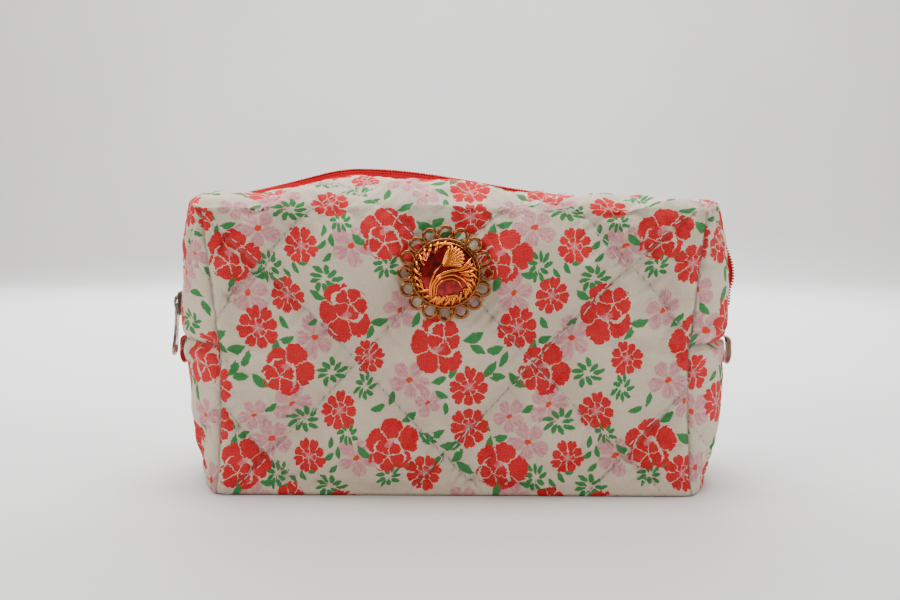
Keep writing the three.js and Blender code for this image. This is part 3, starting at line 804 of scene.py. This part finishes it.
def drape(made, points, flat_of_point):
    """Cloth simulation: slack cloth held along its quilting and seams, blown out by its filling."""
    before = vertex_places(made)
    held = (quilt_distance(flat_of_point) < 0.9) | (np.minimum(*seam_distance(points)) < 1.0)
    held |= (points[:, 2] < 4) | (np.abs(points[:, 1]) < SLOT_HALF + 2) & (points[:, 2] > SPLIT_Z)
    pins = made.vertex_groups.new(name="held")
    pins.add(np.where(held)[0].tolist(), 1.0, "REPLACE")
    cloth = made.modifiers.new("cloth", "CLOTH")
    cloth.settings.vertex_group_mass = "held"
    cloth.settings.use_pressure = True
    cloth.settings.effector_weights.gravity = 0
    for name, value in SLACK_CLOTH.items():
        setattr(cloth.settings, name, value)
    cloth.collision_settings.use_collision = False
    cloth.point_cache.frame_start = 1
    cloth.point_cache.frame_end = SIM_FRAMES
    for step in range(1, SIM_FRAMES + 1):
        bpy.context.scene.frame_set(step)
    move = vertex_places(made.evaluated_get(bpy.context.evaluated_depsgraph_get())) - before
    end = np.abs(points[:, 0]) > HALF_LENGTH - 0.1
    most = np.where(end, END_MOVED, MOST_MOVED) * MM
    move *= np.minimum(1, most / np.maximum(np.linalg.norm(move, axis=1), 1e-9))[:, None]
    made.modifiers.remove(cloth)
    made.data.vertices.foreach_set("co", (before + move).reshape(-1))
    made.data.update()
    bpy.context.scene.frame_set(1)


def vertex_places(made):
    places = np.empty(len(made.data.vertices) * 3, np.float32)
    made.data.vertices.foreach_get("co", places)
    return places.reshape(-1, 3)


def mesh_of(made):
    """An object's own mesh, with its curve or modifiers worked out."""
    graph = bpy.context.evaluated_depsgraph_get()
    return bpy.data.meshes.new_from_object(
        made.evaluated_get(graph), preserve_all_data_layers=True, depsgraph=graph)


def thicken(made, millimetres):
    solid = made.modifiers.new("thickness", "SOLIDIFY")
    solid.thickness = millimetres * MM
    solid.offset = -1
    solid.use_even_offset = False
    thin = made.data
    made.data = mesh_of(made)
    made.modifiers.clear()
    bpy.data.meshes.remove(thin)
    made.data.name = made.name
    return made


def zip_dip(points):
    """How far the cloth is pressed in along the zip, more so at the ends."""
    from_zip = np.maximum(np.abs(points[:, 1]) - SLOT_HALF, 0)
    at_end = np.clip((HEIGHT - points[:, 2]) / 12, 0, 1) * (np.abs(points[:, 0]) > HALF_LENGTH - 0.1)
    on_top = 0.1 + 1.4 * np.minimum(1, 2.2 * hump_share(points[:, 0]))
    deepest = on_top * (1 - at_end) + 3.3 * at_end
    return deepest * np.exp(-((from_zip / (11.0 + 5.0 * at_end)) ** 2)) * ease((points[:, 2] - SPLIT_Z) / 6)


def skin_sheet(side, rows, heights, step, slot):
    """Part of the skin: rows is its span of |y|, heights its span of z, and slot the half gap for the zip."""
    ys, zs = (np.linspace(*span, max(2, round((span[1] - span[0]) / step) + 1)) for span in (rows, heights))
    ys = -ys[::-1] if side == "front" else ys
    xs = np.linspace(-HALF_LENGTH, HALF_LENGTH, round(2 * HALF_LENGTH / step) + 1)

    def keep(face, c):
        if abs(c[1]) < slot and c[2] > SPLIT_Z:
            return False
        if face in ("front", "back"):
            return face == side and rows[1] >= HALF_DEPTH
        if face == "bottom":
            return heights[0] <= 0
        return True

    points, cells, faces = skin_cells(xs, ys, zs, keep)
    return points, cells, corner_cloth(points, cells, faces)


def sheet_piece(name, points, depth, cells, flat, surface, thick):
    """A plain cloth piece at a depth under the skin."""
    made = mesh_object(name, place(points, depth), cells, surface)
    cloth_layers(made, flat)
    thicken(made, thick)
    return made


def lining(side):
    """Half of the lining, which follows the cloth outside it and stops short of the zip."""
    points, cells, flat = skin_sheet(side, (0, HALF_DEPTH), (0, HEIGHT), 3.0, SLOT_HALF)
    outside = np.clip(pressed(points, flat_by_point(points, cells, flat)), -9, 0.4)
    depth = LINING_DEPTH + zip_dip(points) - outside + np.abs(ripple(points, 30.0, 21) * 0.25)
    made = sheet_piece(f"lining_{side}", points, depth, cells, flat, LINING, LINING_THICK)
    return bend(made, side, f"upper_{side}_lining", "lower_lining")


def bend(made, side, *nodes):
    """A piece baked where it stands, with the CAD nodes it replaces hidden; its bend's start and end are
    worked out but not used.
    """
    mirror = 1 if side == "front" else -1
    start = Vector(BEND_START)
    end = start + Vector(BEND_SPAN)
    start, end = ([v.x * MM, v.y * MM * mirror, v.z * MM] for v in (start, end))
    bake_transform(made)
    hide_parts(*nodes)
    return made


# ---- Threads on the cloth ----

def surface_tree(made):
    return BVHTree.FromPolygons(
        [v.co.copy() for v in made.data.vertices], [tuple(p.vertices) for p in made.data.polygons])


def laid_stitches(name, tree, spots, ways, length, radius, lift, surface):
    """Short threads lying on the cloth, each at a spot and along a way, in millimetres."""
    spines = []
    for spot, way in zip(spots, ways):
        near, normal, _, _ = tree.find_nearest(Vector(spot) * MM)
        along = Vector(way).normalized()
        along = (along - normal * along.dot(normal)).normalized()
        across = normal.cross(along)
        near, normal, along, across = (np.array(v) for v in (near / MM, normal, along, across))
        spines.append([(near + along * t * length + normal * lift * (1 - (2 * t) ** 2 * 1.4),
                        across, normal, radius * size) for t, size in STITCH_BEND])
    return rods(name, spines, surface)


def quilting_spots(side):
    """Stitch places along the quilting lines of one half, worked out on the plain box's faces."""
    spots, ways = [], []
    for slope, offset in QUILTING:
        for line in range(-6, 9):
            value = offset + line * QUILT_PITCH
            for u in np.arange(-HALF_LENGTH + 1, HALF_LENGTH, STITCH / math.sqrt(2)):
                v = slope * (value - u)
                here, there = unfold(u, v, side), unfold(u + 1, v - slope, side)
                if here is not None and there is not None:
                    spots.append(here)
                    ways.append(there - here)
    return spots, ways


def unfold(u, v, side):
    """A place on the flat cloth back on the pouch's face or top flap; None if it isn't there."""
    face = -1 if side == "front" else 1
    up = HEIGHT - v if side == "front" else v - HEIGHT - 2 * HALF_DEPTH
    over = max(0, up - HEIGHT)
    if up < 0 or over > HALF_DEPTH - SLOT_HALF - 1:
        return None
    return place([(u, face * (HALF_DEPTH - over), min(up, HEIGHT))], np.zeros(1))[0]


# ---- Zip ----

def zip_line(y, depth, count, lowest=SPLIT_Z):
    """Points along the zip at one distance from its middle, up one end, over the top and down the other."""
    rise = HEIGHT - lowest
    total = 2 * rise + 2 * HALF_LENGTH
    s = np.linspace(0, total, count)
    x = np.clip(s - rise, 0, 2 * HALF_LENGTH) - HALF_LENGTH
    z = np.minimum(np.minimum(lowest + s, lowest + total - s), HEIGHT)
    box = np.column_stack([x, np.full(count, y), z])
    return place(box, np.full(count, depth))


def even_line(y, depth, pitch, lowest):
    """The zip line at an even pitch, with the direction of travel and of the cloth's face."""
    fine = zip_line(y, depth, 1600, lowest)
    under = zip_line(y, depth + 1, 1600, lowest)
    run = run_along(fine)
    at = np.arange(pitch / 2, run[-1], pitch)
    centre = points_at(at, run, fine)
    out = by_row(centre - points_at(at, run, under))
    return centre, by_row(np.gradient(centre, axis=0)), out


def zip_raise(points):
    """How far the free part of the zip stands up out of the cloth, with room for a slider at its stops."""
    x, _, z = points.T
    at_end = np.clip((HEIGHT - z) / 8, 0, 1)
    on_top = ZIP_SUNK + (ZIP_RISE - ZIP_SUNK) * hump_share(x)
    bulge = np.where(x < 0, ZIP_LEFT_RISE, ZIP_RIGHT_RISE) * (1 - 0.8 * ease((z - 92) / 14))
    low_end = np.where(x < 0, 0, ZIP_STOP_RISE) * ease((z - SPLIT_Z - 1) / 6)
    above_stop = ease((z - SLIDER_Z - 5) / 8)
    return (on_top * (1 - at_end) + bulge * at_end) * above_stop + low_end * (1 - above_stop)


def coil(side):
    """Nylon teeth: one bent bar for each turn of the coil, crossing to the middle of the zip."""
    across = np.array([0, -1 if side == "front" else 1, 0])
    centre, along, out = even_line(0.0, TOOTH_DEPTH, TOOTH_PITCH, SLIDER_Z - 1)
    if side == "back":
        centre = centre + along * TOOTH_PITCH / 2
    centre = centre + out * zip_raise(centre)[:, None]
    spines = [[(c + across * reach + o * high, a, o, radius) for reach, high, radius in TOOTH_BEND]
              for c, a, o in zip(centre, along, out)]
    return bend(rods(f"zip_teeth_{side}", spines, TEETH), side, f"zip_coil_{side}")


def tape(side):
    """Half of the zip's tape: it lies under the cloth, and its free part rises to the teeth."""
    points, cells, flat = skin_sheet(side, (0.3, TAPE_HALF), (SPLIT_Z, HEIGHT), 1.0, 0)
    free = 1 - ease((np.abs(points[:, 1]) - 2.5) / 5.0)
    depth = TAPE_DEPTH - free * (zip_raise(points) + 0.95) + (1 - free) * zip_dip(points)
    depth = depth + np.abs(ripple(points, 30.0, 21) * 0.05)
    made = sheet_piece(f"zip_tape_{side}_cloth", points, depth, cells, flat, TAPE, TAPE_THICK)
    return bend(made, side, f"zip_tape_{side}")


def tape_stitching(side, band):
    """The row of red stitches that holds the coil to its tape."""
    sign = -1 if side == "front" else 1
    centre, along, out = even_line(sign * 3.6, 2.2, 1.9, SLIDER_Z - 1)
    centre = centre + out * zip_raise(centre)[:, None]
    made = laid_stitches(f"zip_stitching_{side}", surface_tree(band), centre, along, 1.7, 0.2, 0.1, TAPE)
    return bend(made, side)


# ---- Metal parts ----

def add_spline(curve, spots, radii, closed=True):
    spline = curve.splines.new("POLY")
    spline.points.add(len(spots) - 1)
    for point, spot, radius in zip(spline.points, spots, radii):
        point.co = (*spot, 1)
        point.radius = radius
    spline.use_cyclic_u = closed


def from_curve(name, curve, surface):
    drawn = add_piece(name, curve)
    mesh = mesh_of(drawn)
    bpy.data.objects.remove(drawn)
    weld(mesh)
    mesh.materials.clear()
    return add_piece(name, mesh, surface)


def plate(name, outlines, thickness, bevel, surface):
    """A flat plate from closed outlines in millimetres, the later ones being holes, with rounded edges."""
    curve = bpy.data.curves.new(name, "CURVE")
    curve.dimensions = "2D"
    curve.fill_mode = "BOTH"
    curve.extrude = thickness / 2 - bevel
    curve.bevel_depth = bevel
    curve.bevel_resolution = 2
    curve.offset = -bevel
    for outline in outlines:
        add_spline(curve, [(x, y, 0) for x, y in outline], [1] * len(outline))
    return from_curve(name, curve, surface)


def tube(name, route, radii, surface, closed=False, sides=10):
    """A swept wire through a route in millimetres, with a radius at each point."""
    curve = bpy.data.curves.new(name, "CURVE")
    curve.dimensions = "3D"
    curve.bevel_depth = 1
    curve.bevel_resolution = sides // 4
    curve.use_fill_caps = True
    add_spline(curve, route, radii if hasattr(radii, "__len__") else [radii] * len(route), closed)
    return from_curve(name, curve, surface)


def weld(mesh):
    work = bmesh.new()
    work.from_mesh(mesh)
    bmesh.ops.remove_doubles(work, verts=work.verts, dist=1e-4)
    bmesh.ops.recalc_face_normals(work, faces=work.faces)
    work.to_mesh(mesh)
    work.free()
    smooth(mesh)
    mesh.set_sharp_from_angle(angle=math.radians(50))


def rounded(points, radius, steps=5):
    """A closed outline with its corners rounded."""
    result = []
    count = len(points)
    for i in range(count):
        corner = np.array(points[i], float)
        before = np.array(points[i - 1], float) - corner
        after = np.array(points[(i + 1) % count], float) - corner
        cut = min(radius, np.linalg.norm(before) * 0.45, np.linalg.norm(after) * 0.45)
        start = corner + before / np.linalg.norm(before) * cut
        end = corner + after / np.linalg.norm(after) * cut
        for t in np.linspace(0, 1, steps):
            result.append(tuple(start * (1 - t) ** 2 + corner * 2 * t * (1 - t) + end * t**2))
    return result


def circle(x, y, radius, count=20):
    return [(x + dx, y + dy) for dx, dy in (polar(radius, TAU * k / count) for k in range(count))]


def mirrored(points):
    """One side of an outline, and then the same turned over x."""
    return points + [(x, -y) for x, y in reversed(points)]


def join(name, parts):
    """Several meshes as one piece, keeping each one's material."""
    with bpy.context.temp_override(active_object=parts[0], selected_editable_objects=parts,
                                   selected_objects=parts, object=parts[0]):
        bpy.ops.object.join()
    parts[0].name = name
    return parts[0]


def set_in_place(made, matrix):
    """Puts a piece drawn in millimetres in a local frame where that frame lies."""
    made.data.transform(matrix @ Matrix.Scale(MM, 4))
    made.data.update()
    return made


def shifted(made, x=0, y=0, z=0, turn=Matrix.Identity(4)):
    made.data.transform(Matrix.Translation((x, y, z)) @ turn)
    return made


UPRIGHT = Matrix.Rotation(-math.pi / 2, 4, "Y")
PULL_TILT = math.radians(-5)
SLIDER_PLATE = 1.1


def slider_frame():
    """x out of the left end, y across the zip, z up along it."""
    turn = Matrix(((-1, 0, 0), (0, -1, 0), (0, 0, 1))).to_4x4()
    return Matrix.Translation((-SLIDER_FACE * MM, 0, SLIDER_Z * MM)) @ turn


def slider():
    """Two plates joined by a post and two rims, with a bridge for the pull."""
    outline = rounded(mirrored([(-5.5, -4.4), (-4.7, -5.2), (0, -5.1), (4.5, -4.5), (5.5, -3.4)]), 1.2)
    parts = [shifted(plate("slider_body_cast", [outline], SLIDER_PLATE, 0.3, GUNMETAL), x, turn=UPRIGHT)
             for x in (0.35, -3.85)]
    for side in (-1, 1):
        route = [(-0.5, side * 4.55, -4.2), (-0.6, side * 4.5, 0), (-0.5, side * 4.1, 4.2)]
        parts.append(tube("slider_rim", route, [0.55, 0.6, 0.5], GUNMETAL))
    parts.append(tube("slider_post", [(-3.6, 0, -3.6), (0.2, 0, -3.6)], 1.1, GUNMETAL))
    half_arch = [(0.6, -3.1), (1.8, -3.0), (2.75, -2.3), (3.15, -1)]
    half_radii = [0.95, 0.85, 0.72, 0.66]
    arch = [(x, 0, z) for x, z in mirrored(half_arch)]
    bridge = tube("slider_bridge", arch, half_radii + half_radii[::-1], BRASS, sides=12)
    parts.append(shifted(bridge, turn=Matrix.Diagonal((1, 1.25, 1, 1))))
    made = set_in_place(join("slider_body_cast", parts), slider_frame())
    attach(made, "slider")
    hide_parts("slider_body")


def pull():
    """A stamped tab with a window, an inlaid groove and a ringed hole."""
    outline = [(0.6, -2.9), (0.6, 2.9), (-5.6, 2.9), (-8.6, 2.1), (-15.5, 2.2), (-19.5, 3.5), (-23.4, 3.4),
               (-24.4, 0), (-23.4, -3.4), (-19.5, -3.5), (-15.5, -2.2), (-8.6, -2.1), (-5.6, -2.9)]
    window = rounded(mirrored([(-0.6, -1.7), (-4.9, -1.7)]), 0.8)
    groove = rounded([(-8.5, -0.7), (-16.5, -0.8), (-16.5, 0.8), (-8.5, 0.7)], 0.6)
    parts = [plate("pull_tab_stamped", [rounded(outline, 1.3), window, circle(-21, 0, 1.7)], 1.2, 0.32, PULL),
             plate("pull_inlay", [groove], 1.34, 0.2, COPPER)]
    for face in (-0.6, 0.6):
        route = [(x, y, face) for x, y in circle(-21, 0, 2.05, 28)]
        parts.append(tube("pull_ring", route, 0.22, PULL, closed=True))
    hang = Matrix.Translation((1.8 * MM, 0, 0)) @ Matrix.Rotation(PULL_TILT, 4, "Y")
    made = set_in_place(join("pull_tab_stamped", parts), slider_frame() @ hang @ UPRIGHT)
    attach(made, "pull")
    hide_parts("pull_tab")


# ---- Brooch ----

def brooch_frame():
    def at(x, z):
        return place([(x, -HALF_DEPTH, z)], np.zeros(1))[0]
    x0 = BROOCH_X * HALF_LENGTH / BROOCH_SEAM_HALF
    origin = at(x0, BROOCH_Z)
    right = Vector(at(x0 + 12, BROOCH_Z) - at(x0 - 12, BROOCH_Z)).normalized()
    up = Vector(at(x0, BROOCH_Z + 8) - at(x0, BROOCH_Z - 8)).normalized()
    out = right.cross(up).normalized()
    up = out.cross(right)
    turn = Matrix((right, up, out)).transposed().to_4x4()
    return Matrix.Translation(Vector(origin) * MM) @ turn


def ring_mesh(name, sections, surface, closed):
    """A ring or turned shape from its section at each step round; a closed section joins its two ends."""
    count, size = len(sections), len(sections[0])
    steps = [(i, (i + 1) % size) for i in range(size if closed else size - 1)]
    cells = [[k * size + i, (k + 1) % count * size + i, (k + 1) % count * size + j, k * size + j]
             for k in range(count) for i, j in steps]
    return mesh_object(name, [p for section in sections for p in section], cells, surface, 1)


def lathe(name, profile, surface, count=96):
    made = ring_mesh(name, [[(*polar(r, TAU * k / count), z) for r, z in profile] for k in range(count)],
                     surface, closed=False)
    weld(made.data)
    return made


def dome_height(r):
    return DOME_HEIGHT * math.sqrt(max(0, 1 - (r / DOME_ROUND) ** 2))


def scroll(route, fat, tip=0.14, lift=0.35, blunt=False):
    """A gilt wire over the dome: through a few points of its plane, thick in the middle or at its far end."""
    line = smooth_line(route, 14 * (len(route) - 1) + 1, 30)
    s = np.linspace(0, 1, len(line))
    radii = tip + (fat - tip) * (s**0.8 if blunt else np.sin(np.pi * s) ** 0.7)
    if blunt:
        radii *= np.sqrt(np.clip((1 - s) * 12, 0.05, 1))
    spots = [(x, y, dome_height(math.hypot(x, y)) + lift + r * 0.3) for (x, y), r in zip(line, radii)]
    return tube("scroll", spots, list(radii), GILT, sides=8)


def fan(x, y, low, high, count, length, fat, bow=0.12, start=0.12):
    """Flutes that spread from a point."""
    parts = []
    for k in range(count):
        share = k / (count - 1)
        turn = math.radians(low + (high - low) * share)
        reach = length * (0.80 + 0.20 * math.sin(math.pi * share))
        tip = polar(reach, turn + bow * (share - 0.5) * 2)
        ways = (polar(reach * start, turn), polar(reach * 0.5, turn), tip)
        parts.append(scroll([(x + dx, y + dy) for dx, dy in ways], fat, 0.16, 0.4, blunt=True))
    return parts


# Each leaf scroll: its greatest radius, and the points that it runs through.
LEAF_SCROLLS = [
    (0.5, [(-6.0, -10.4), (-6.0, -4.5), (-4.4, 0.0), (-1.6, 3.2)]),
    (0.62, [(-5.3, -11.0), (-5.6, -5.0), (-2.8, -0.8), (2.6, 1.2), (7.6, 1.5), (12.0, 4.4)]),
    (0.52, [(-4.4, -9.8), (-4.3, -4.2), (-1.6, -1.3), (3.2, -0.2), (6.8, -2.0), (9.4, -5.0)]),
    (0.36, [(-3.5, -8.6), (-3.2, -4.8), (-0.8, -2.6), (2.8, -1.8), (5.4, -3.2), (6.8, -5.8)]),
    (0.55, [(3.4, 0.6), (8.0, 3.0), (10.4, 6.2)]),
    (0.55, [(5.4, 0.5), (9.0, 0.3), (12.3, 1.8)]),
    (0.55, [(6.2, -0.2), (9.6, -1.0), (12.4, -0.8)]),
    (0.52, [(7.2, -1.4), (9.8, -2.8), (12.0, -3.2)]),
    (0.5, [(8.4, -3.2), (10.2, -4.9), (11.2, -5.9)]),
    (0.55, [(-4.4, 11.0), (-0.6, 12.0), (3.0, 11.0), (2.6, 9.0), (1.2, 9.4)]),
    (0.5, [(6.4, -10.2), (9.0, -8.2), (9.2, -6.2), (7.4, -6.0), (7.2, -7.6)]),
    (0.5, [(-1.6, -11.6), (0.6, -9.0), (4.2, -8.4), (5.4, -10.0), (3.8, -11.0)]),
    (0.5, [(-8.2, -7.8), (-9.4, -3.6), (-11.2, -1.4)]),
]


def leafy_border():
    """Short leaves round the dome's edge, with a gap where the fan spreads."""
    parts = []
    for k in range(BORDER_LEAVES):
        turn = TAU * k / BORDER_LEAVES + 0.05
        if not 0.25 < turn < 1.35:
            inner = 9.6 + 0.8 * math.sin(k * 2.4)
            route = [polar(13.6, turn), polar(11.8, turn + 0.10), polar(inner, turn + 0.30)]
            parts.append(scroll(route, 0.66, 0.22, 0.3))
    return parts


def overlay_parts():
    """Leaf scrolls: a fluted fan on a stem, an arched frond, small fans below and a leafy border."""
    parts = fan(-1.8, 2.8, 6, 62, 9, 10.8, 0.66, 0.08)
    parts += [scroll(route, fat) for fat, route in LEAF_SCROLLS]
    parts += fan(-3.0, -7.6, 240, 300, 6, 5.0, 0.5, 0.15, 0.3)
    parts += fan(1.6, -8.0, 255, 310, 4, 4.2, 0.46, 0.2, 0.35)
    return parts + leafy_border()


def bead(x, y, z, radius, surface):
    mesh = bpy.data.meshes.new("bead")
    work = bmesh.new()
    bmesh.ops.create_uvsphere(work, u_segments=16, v_segments=10, radius=radius)
    work.to_mesh(mesh)
    work.free()
    smooth(mesh)
    return shifted(add_piece("bead", mesh, surface), x, y, z)


def wire_loop(turn, z):
    """One open loop of wire, standing out from the plate's edge."""
    route = []
    for bent in np.radians(np.linspace(-150, 150, 25)):
        out, across = 16.2 + 2.6 * math.cos(bent), 2.5 * math.sin(bent)
        route.append((out * math.cos(turn) - across * math.sin(turn),
                      out * math.sin(turn) + across * math.cos(turn), z))
    return tube("loop", route, 0.74, COPPER, sides=8)


def filigree():
    """The back plate: a pierced disc, a ring of wire loops, and beads where they meet."""
    step = TAU / LOOPS
    holes = [circle(*polar(12.6, step * (k + 0.5)), 0.75, 10) for k in range(LOOPS)]
    disc = plate("filigree", [circle(0, 0, 14.2, 96), *holes], 0.7, 0.15, COPPER)
    parts = [shifted(disc, z=BROOCH_STANDOFF + 0.4)]
    for k in range(LOOPS):
        parts.append(wire_loop(step * k, BROOCH_STANDOFF + 0.5))
        parts.append(bead(*polar(14.3, step * (k + 0.5)), BROOCH_STANDOFF + 0.8, 0.62, COPPER))
    pin_on(join("brooch_filigree", parts), "brooch_filigree_plate")


def rope(radius, thick, z, strands, surface):
    """A twisted wire ring."""
    sections = []
    for turn in TAU * np.arange(260) / 260:
        section = []
        for a in TAU * np.arange(10) / 10:
            out, up = polar(thick * (0.86 + 0.22 * abs(math.sin(strands * turn / 2 + a))), a)
            section.append((*polar(radius + out, turn), z + up))
        sections.append(section)
    return ring_mesh("rope", sections, surface, closed=True)


def pin_on(piece, node, height=0):
    """Puts a piece drawn on the brooch's own plane, at a height over it, on the front."""
    set_in_place(shifted(piece, z=height), brooch_frame())
    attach(piece, "front_jaw")
    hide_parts(node)


def brooch():
    filigree()
    front = BROOCH_STANDOFF + CUP_LIFT
    seat = BROOCH_STANDOFF + DOME_LIFT
    section = [(0, 0), (12.2, 0), (12.5, 0.4), (12.4, 2.0), (12.0, 2.5), (11.5, 2.3), (11.3, 0.7), (0, 0.7)]
    cup = lathe("brooch_cup", section, COPPER)
    rims = [rope(13.3, 0.85, 0.9, 46, COPPER), rope(12.0, 0.5, 1.8, 60, GILT)]
    dome = [(r, dome_height(r)) for r in np.linspace(DOME_RADIUS, 0.001, 24)]
    stone = lathe("brooch_stone", [(0, 0), (DOME_RADIUS, 0), *dome], GLASS)
    overlay = join("brooch_overlay", overlay_parts())
    pin_on(cup, "brooch_dome_cup", front)
    pin_on(join("brooch_rope", rims), "brooch_rope_rim", front)
    pin_on(stone, "brooch_dome", seat)
    pin_on(overlay, "brooch_leaf_overlay", seat)


# ---- Tabs ----


def end_tab(end):
    """A strip of printed cloth folded in a loop and caught in the end seam."""
    line = smooth_line(TAB_LOOP, 53, 3) * (TAB_REACH, 1) + (TAB_ROOT, TAB_TOP)
    run = run_along(line)
    sign = -1 if end == "left" else 1
    widths = np.linspace(-TAB_HALF, TAB_HALF, 21)
    points, flat = [], []
    for y in widths:
        sag = 0.25 * np.sin(line[:, 1] * 0.9 + y * 0.5) * (np.abs(y) > 3)
        points.append(np.column_stack([sign * (line[:, 0] + sag * 0.5), np.full(len(line), y), line[:, 1]]))
        flat.append(np.column_stack([np.full(len(line), y), run]) + TAB_CUT[end])
    cells = grid_cells(len(widths), len(line), end == "left")
    flat = np.concatenate(flat)[cells]
    made = mesh_object(f"end_tab_{end}_cloth", np.concatenate(points), cells, PRINTED)
    cloth_layers(made, flat, PRINT)
    corner_vectors(made, "quilt", np.full((len(flat), 4, 3), 20.0))
    thicken(made, TAB_THICK)
    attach(made, "base")
    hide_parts(f"end_tab_{end}")


# ---- Bindings ----

def bindings():
    """Strips of lining cloth over the raw edges: two upright and one across, inside each end."""
    for end, sign in (("left", -1), ("right", 1)):
        for side, face in (("front", -1), ("back", 1)):
            names = [f"seam_binding_{end}_{side}_{part}" for part in ("lower", "upper")]
            made = binding_strip(f"binding_{end}_{side}", sign, sorted((face * 32, face * 42.4)), (9.5, 104))
            bend(made, side, *names)
        across = binding_strip(f"binding_{end}_across", sign, (-23.5, 23.5), (51.2, SPLIT_Z - 0.4))
        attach(across, "base")
        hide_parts(f"end_seam_binding_{end}")


def binding_strip(name, sign, *spans):
    ys, zs = (np.linspace(low, high, max(5, round((high - low) / 1.6))) for low, high in spans)
    points = np.array([(sign * HALF_LENGTH, y, z) for y in ys for z in zs])
    cells = grid_cells(len(ys), len(zs), sign < 0)
    middle = 1 - (2 * (points[:, 1] - ys[0]) / (ys[-1] - ys[0]) - 1) ** 2
    depth = BINDING_DEPTH - 0.3 * middle + 0.12 * ripple(points, 6, 31)
    return sheet_piece(name, points, depth, cells, points[cells][..., 1:3], LINING, BINDING_THICK)


# ---- Camera, light and floor ----

# The camera: its focal length, its place in metres, and how far it is turned down and left, in degrees.
LENS = 41.8
EYE = (0.0061, -0.470, 0.115)
LOOK_DOWN, LOOK_LEFT = 4.58, 1.0

def studio():
    camera = bpy.data.cameras.new("camera")
    camera.sensor_width = 36
    camera.lens = LENS
    eye = bpy.data.objects.new("camera", camera)
    eye.location = EYE
    eye.rotation_euler = (math.radians(90 - LOOK_DOWN), 0, math.radians(LOOK_LEFT))
    bpy.context.collection.objects.link(eye)
    bpy.context.scene.camera = eye

    bend_up = [(1.3 + 0.7 * math.sin(t), 0.7 - 0.7 * math.cos(t)) for t in np.linspace(0, math.pi / 2, 24)]
    profile = [(-2.2, 0), *bend_up, (2.0, 2.6)]
    sweep = [(x, y, z) for x in (-2.6, 2.6) for y, z in profile]
    rows = len(profile)
    cells = [[i, i + rows, i + rows + 1, i + 1] for i in range(rows - 1)]
    floor = mesh_object("floor", sweep, cells, painted_floor(), 1)

    world = bpy.data.worlds.new("studio")
    world.use_nodes = True
    world.node_tree.nodes["Background"].inputs[0].default_value = (1.0, 0.975, 0.95, 1)
    world.node_tree.nodes["Background"].inputs[1].default_value = 0.32
    bpy.context.scene.world = world
    area_light("window", (-0.1, 0.9, 0.85), (0, 0, 0.08), 1.3, 30, (0.93, 0.98, 1.0))
    area_light("fill", (-0.95, -0.75, 0.95), (0, 0, 0.06), 0.45, 8.5, (1.0, 0.92, 0.84))
    area_light("side", (1.2, -0.5, 0.45), (0, 0, 0.06), 0.5, 5.5, (0.97, 1.0, 0.96))
    area_light("backdrop", (0, 0.2, 1.7), (0, 2.0, 0.7), 1.4, 80, (1.0, 1.0, 1.0))


def area_light(name, spot, aim, size, power, colour):
    light = bpy.data.lights.new(name, "AREA")
    light.size = size
    light.energy = power
    light.color = colour
    made = bpy.data.objects.new(name, light)
    made.location = spot
    made.rotation_euler = (Vector(aim) - Vector(spot)).to_track_quat("-Z", "Y").to_euler()
    bpy.context.collection.objects.link(made)


# ---- Assembly ----

PRINTED = printed_cotton()
LINING = plain_cloth("lining cotton", (0.70, 0.68, 0.65), (0.84, 0.83, 0.80))
TAPE = plain_cloth("zip tape", (0.34, 0.0, 0.004), (0.58, 0.003, 0.010), 0.5, 0.35, 0.0)
TEETH = nylon("zip nylon", (0.45, 0.001, 0.006), (0.70, 0.005, 0.015))
THREAD = nylon("clear thread", (0.62, 0.58, 0.55), (0.82, 0.80, 0.78))
GUNMETAL = worn_shaded_metal("gunmetal", (0.23, 0.185, 0.16), (0.045, 0.036, 0.03), 0.26, keep=0.42)
BRASS = worn_shaded_metal("worn shaded brass", (0.42, 0.27, 0.14), (0.10, 0.055, 0.03), 0.26, keep=0.45)
PULL = worn_shaded_metal("worn shaded nickel", (0.50, 0.375, 0.33), (0.17, 0.095, 0.075), 0.2, keep=0.5)
COPPER = worn_shaded_metal("antiqued shaded copper", (0.40, 0.14, 0.045), (0.035, 0.010, 0.005), 0.2, keep=0.26)
GILT = worn_shaded_metal("gilt", (0.82, 0.24, 0.035), (0.07, 0.010, 0.002), 0.16, keep=0.34)
STEEL = worn_shaded_metal("pin steel", (0.6, 0.58, 0.55), (0.3, 0.28, 0.26), 0.3)
GLASS = foiled_glass()

studio()
for side in ("front", "back"):
    cloth = cover(side)
    tree = surface_tree(cloth)
    threads = laid_stitches(f"quilting_thread_{side}", tree, *quilting_spots(side), 2.7, 0.2, 0.12, THREAD)
    bend(threads, side)
    bend(cloth, side, f"upper_{side}_shell", "lower_shell")
    lining(side)
    band = tape(side)
    coil(side)
    tape_stitching(side, band)
slider()
pull()
brooch()
end_tab("left")
end_tab("right")
bindings()
for node, metal in (("brooch_pin_hinge", COPPER), ("brooch_pin_catch", COPPER), ("brooch_pin_stem", STEEL)):
    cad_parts[node].data.materials.clear()
    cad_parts[node].data.materials.append(metal)
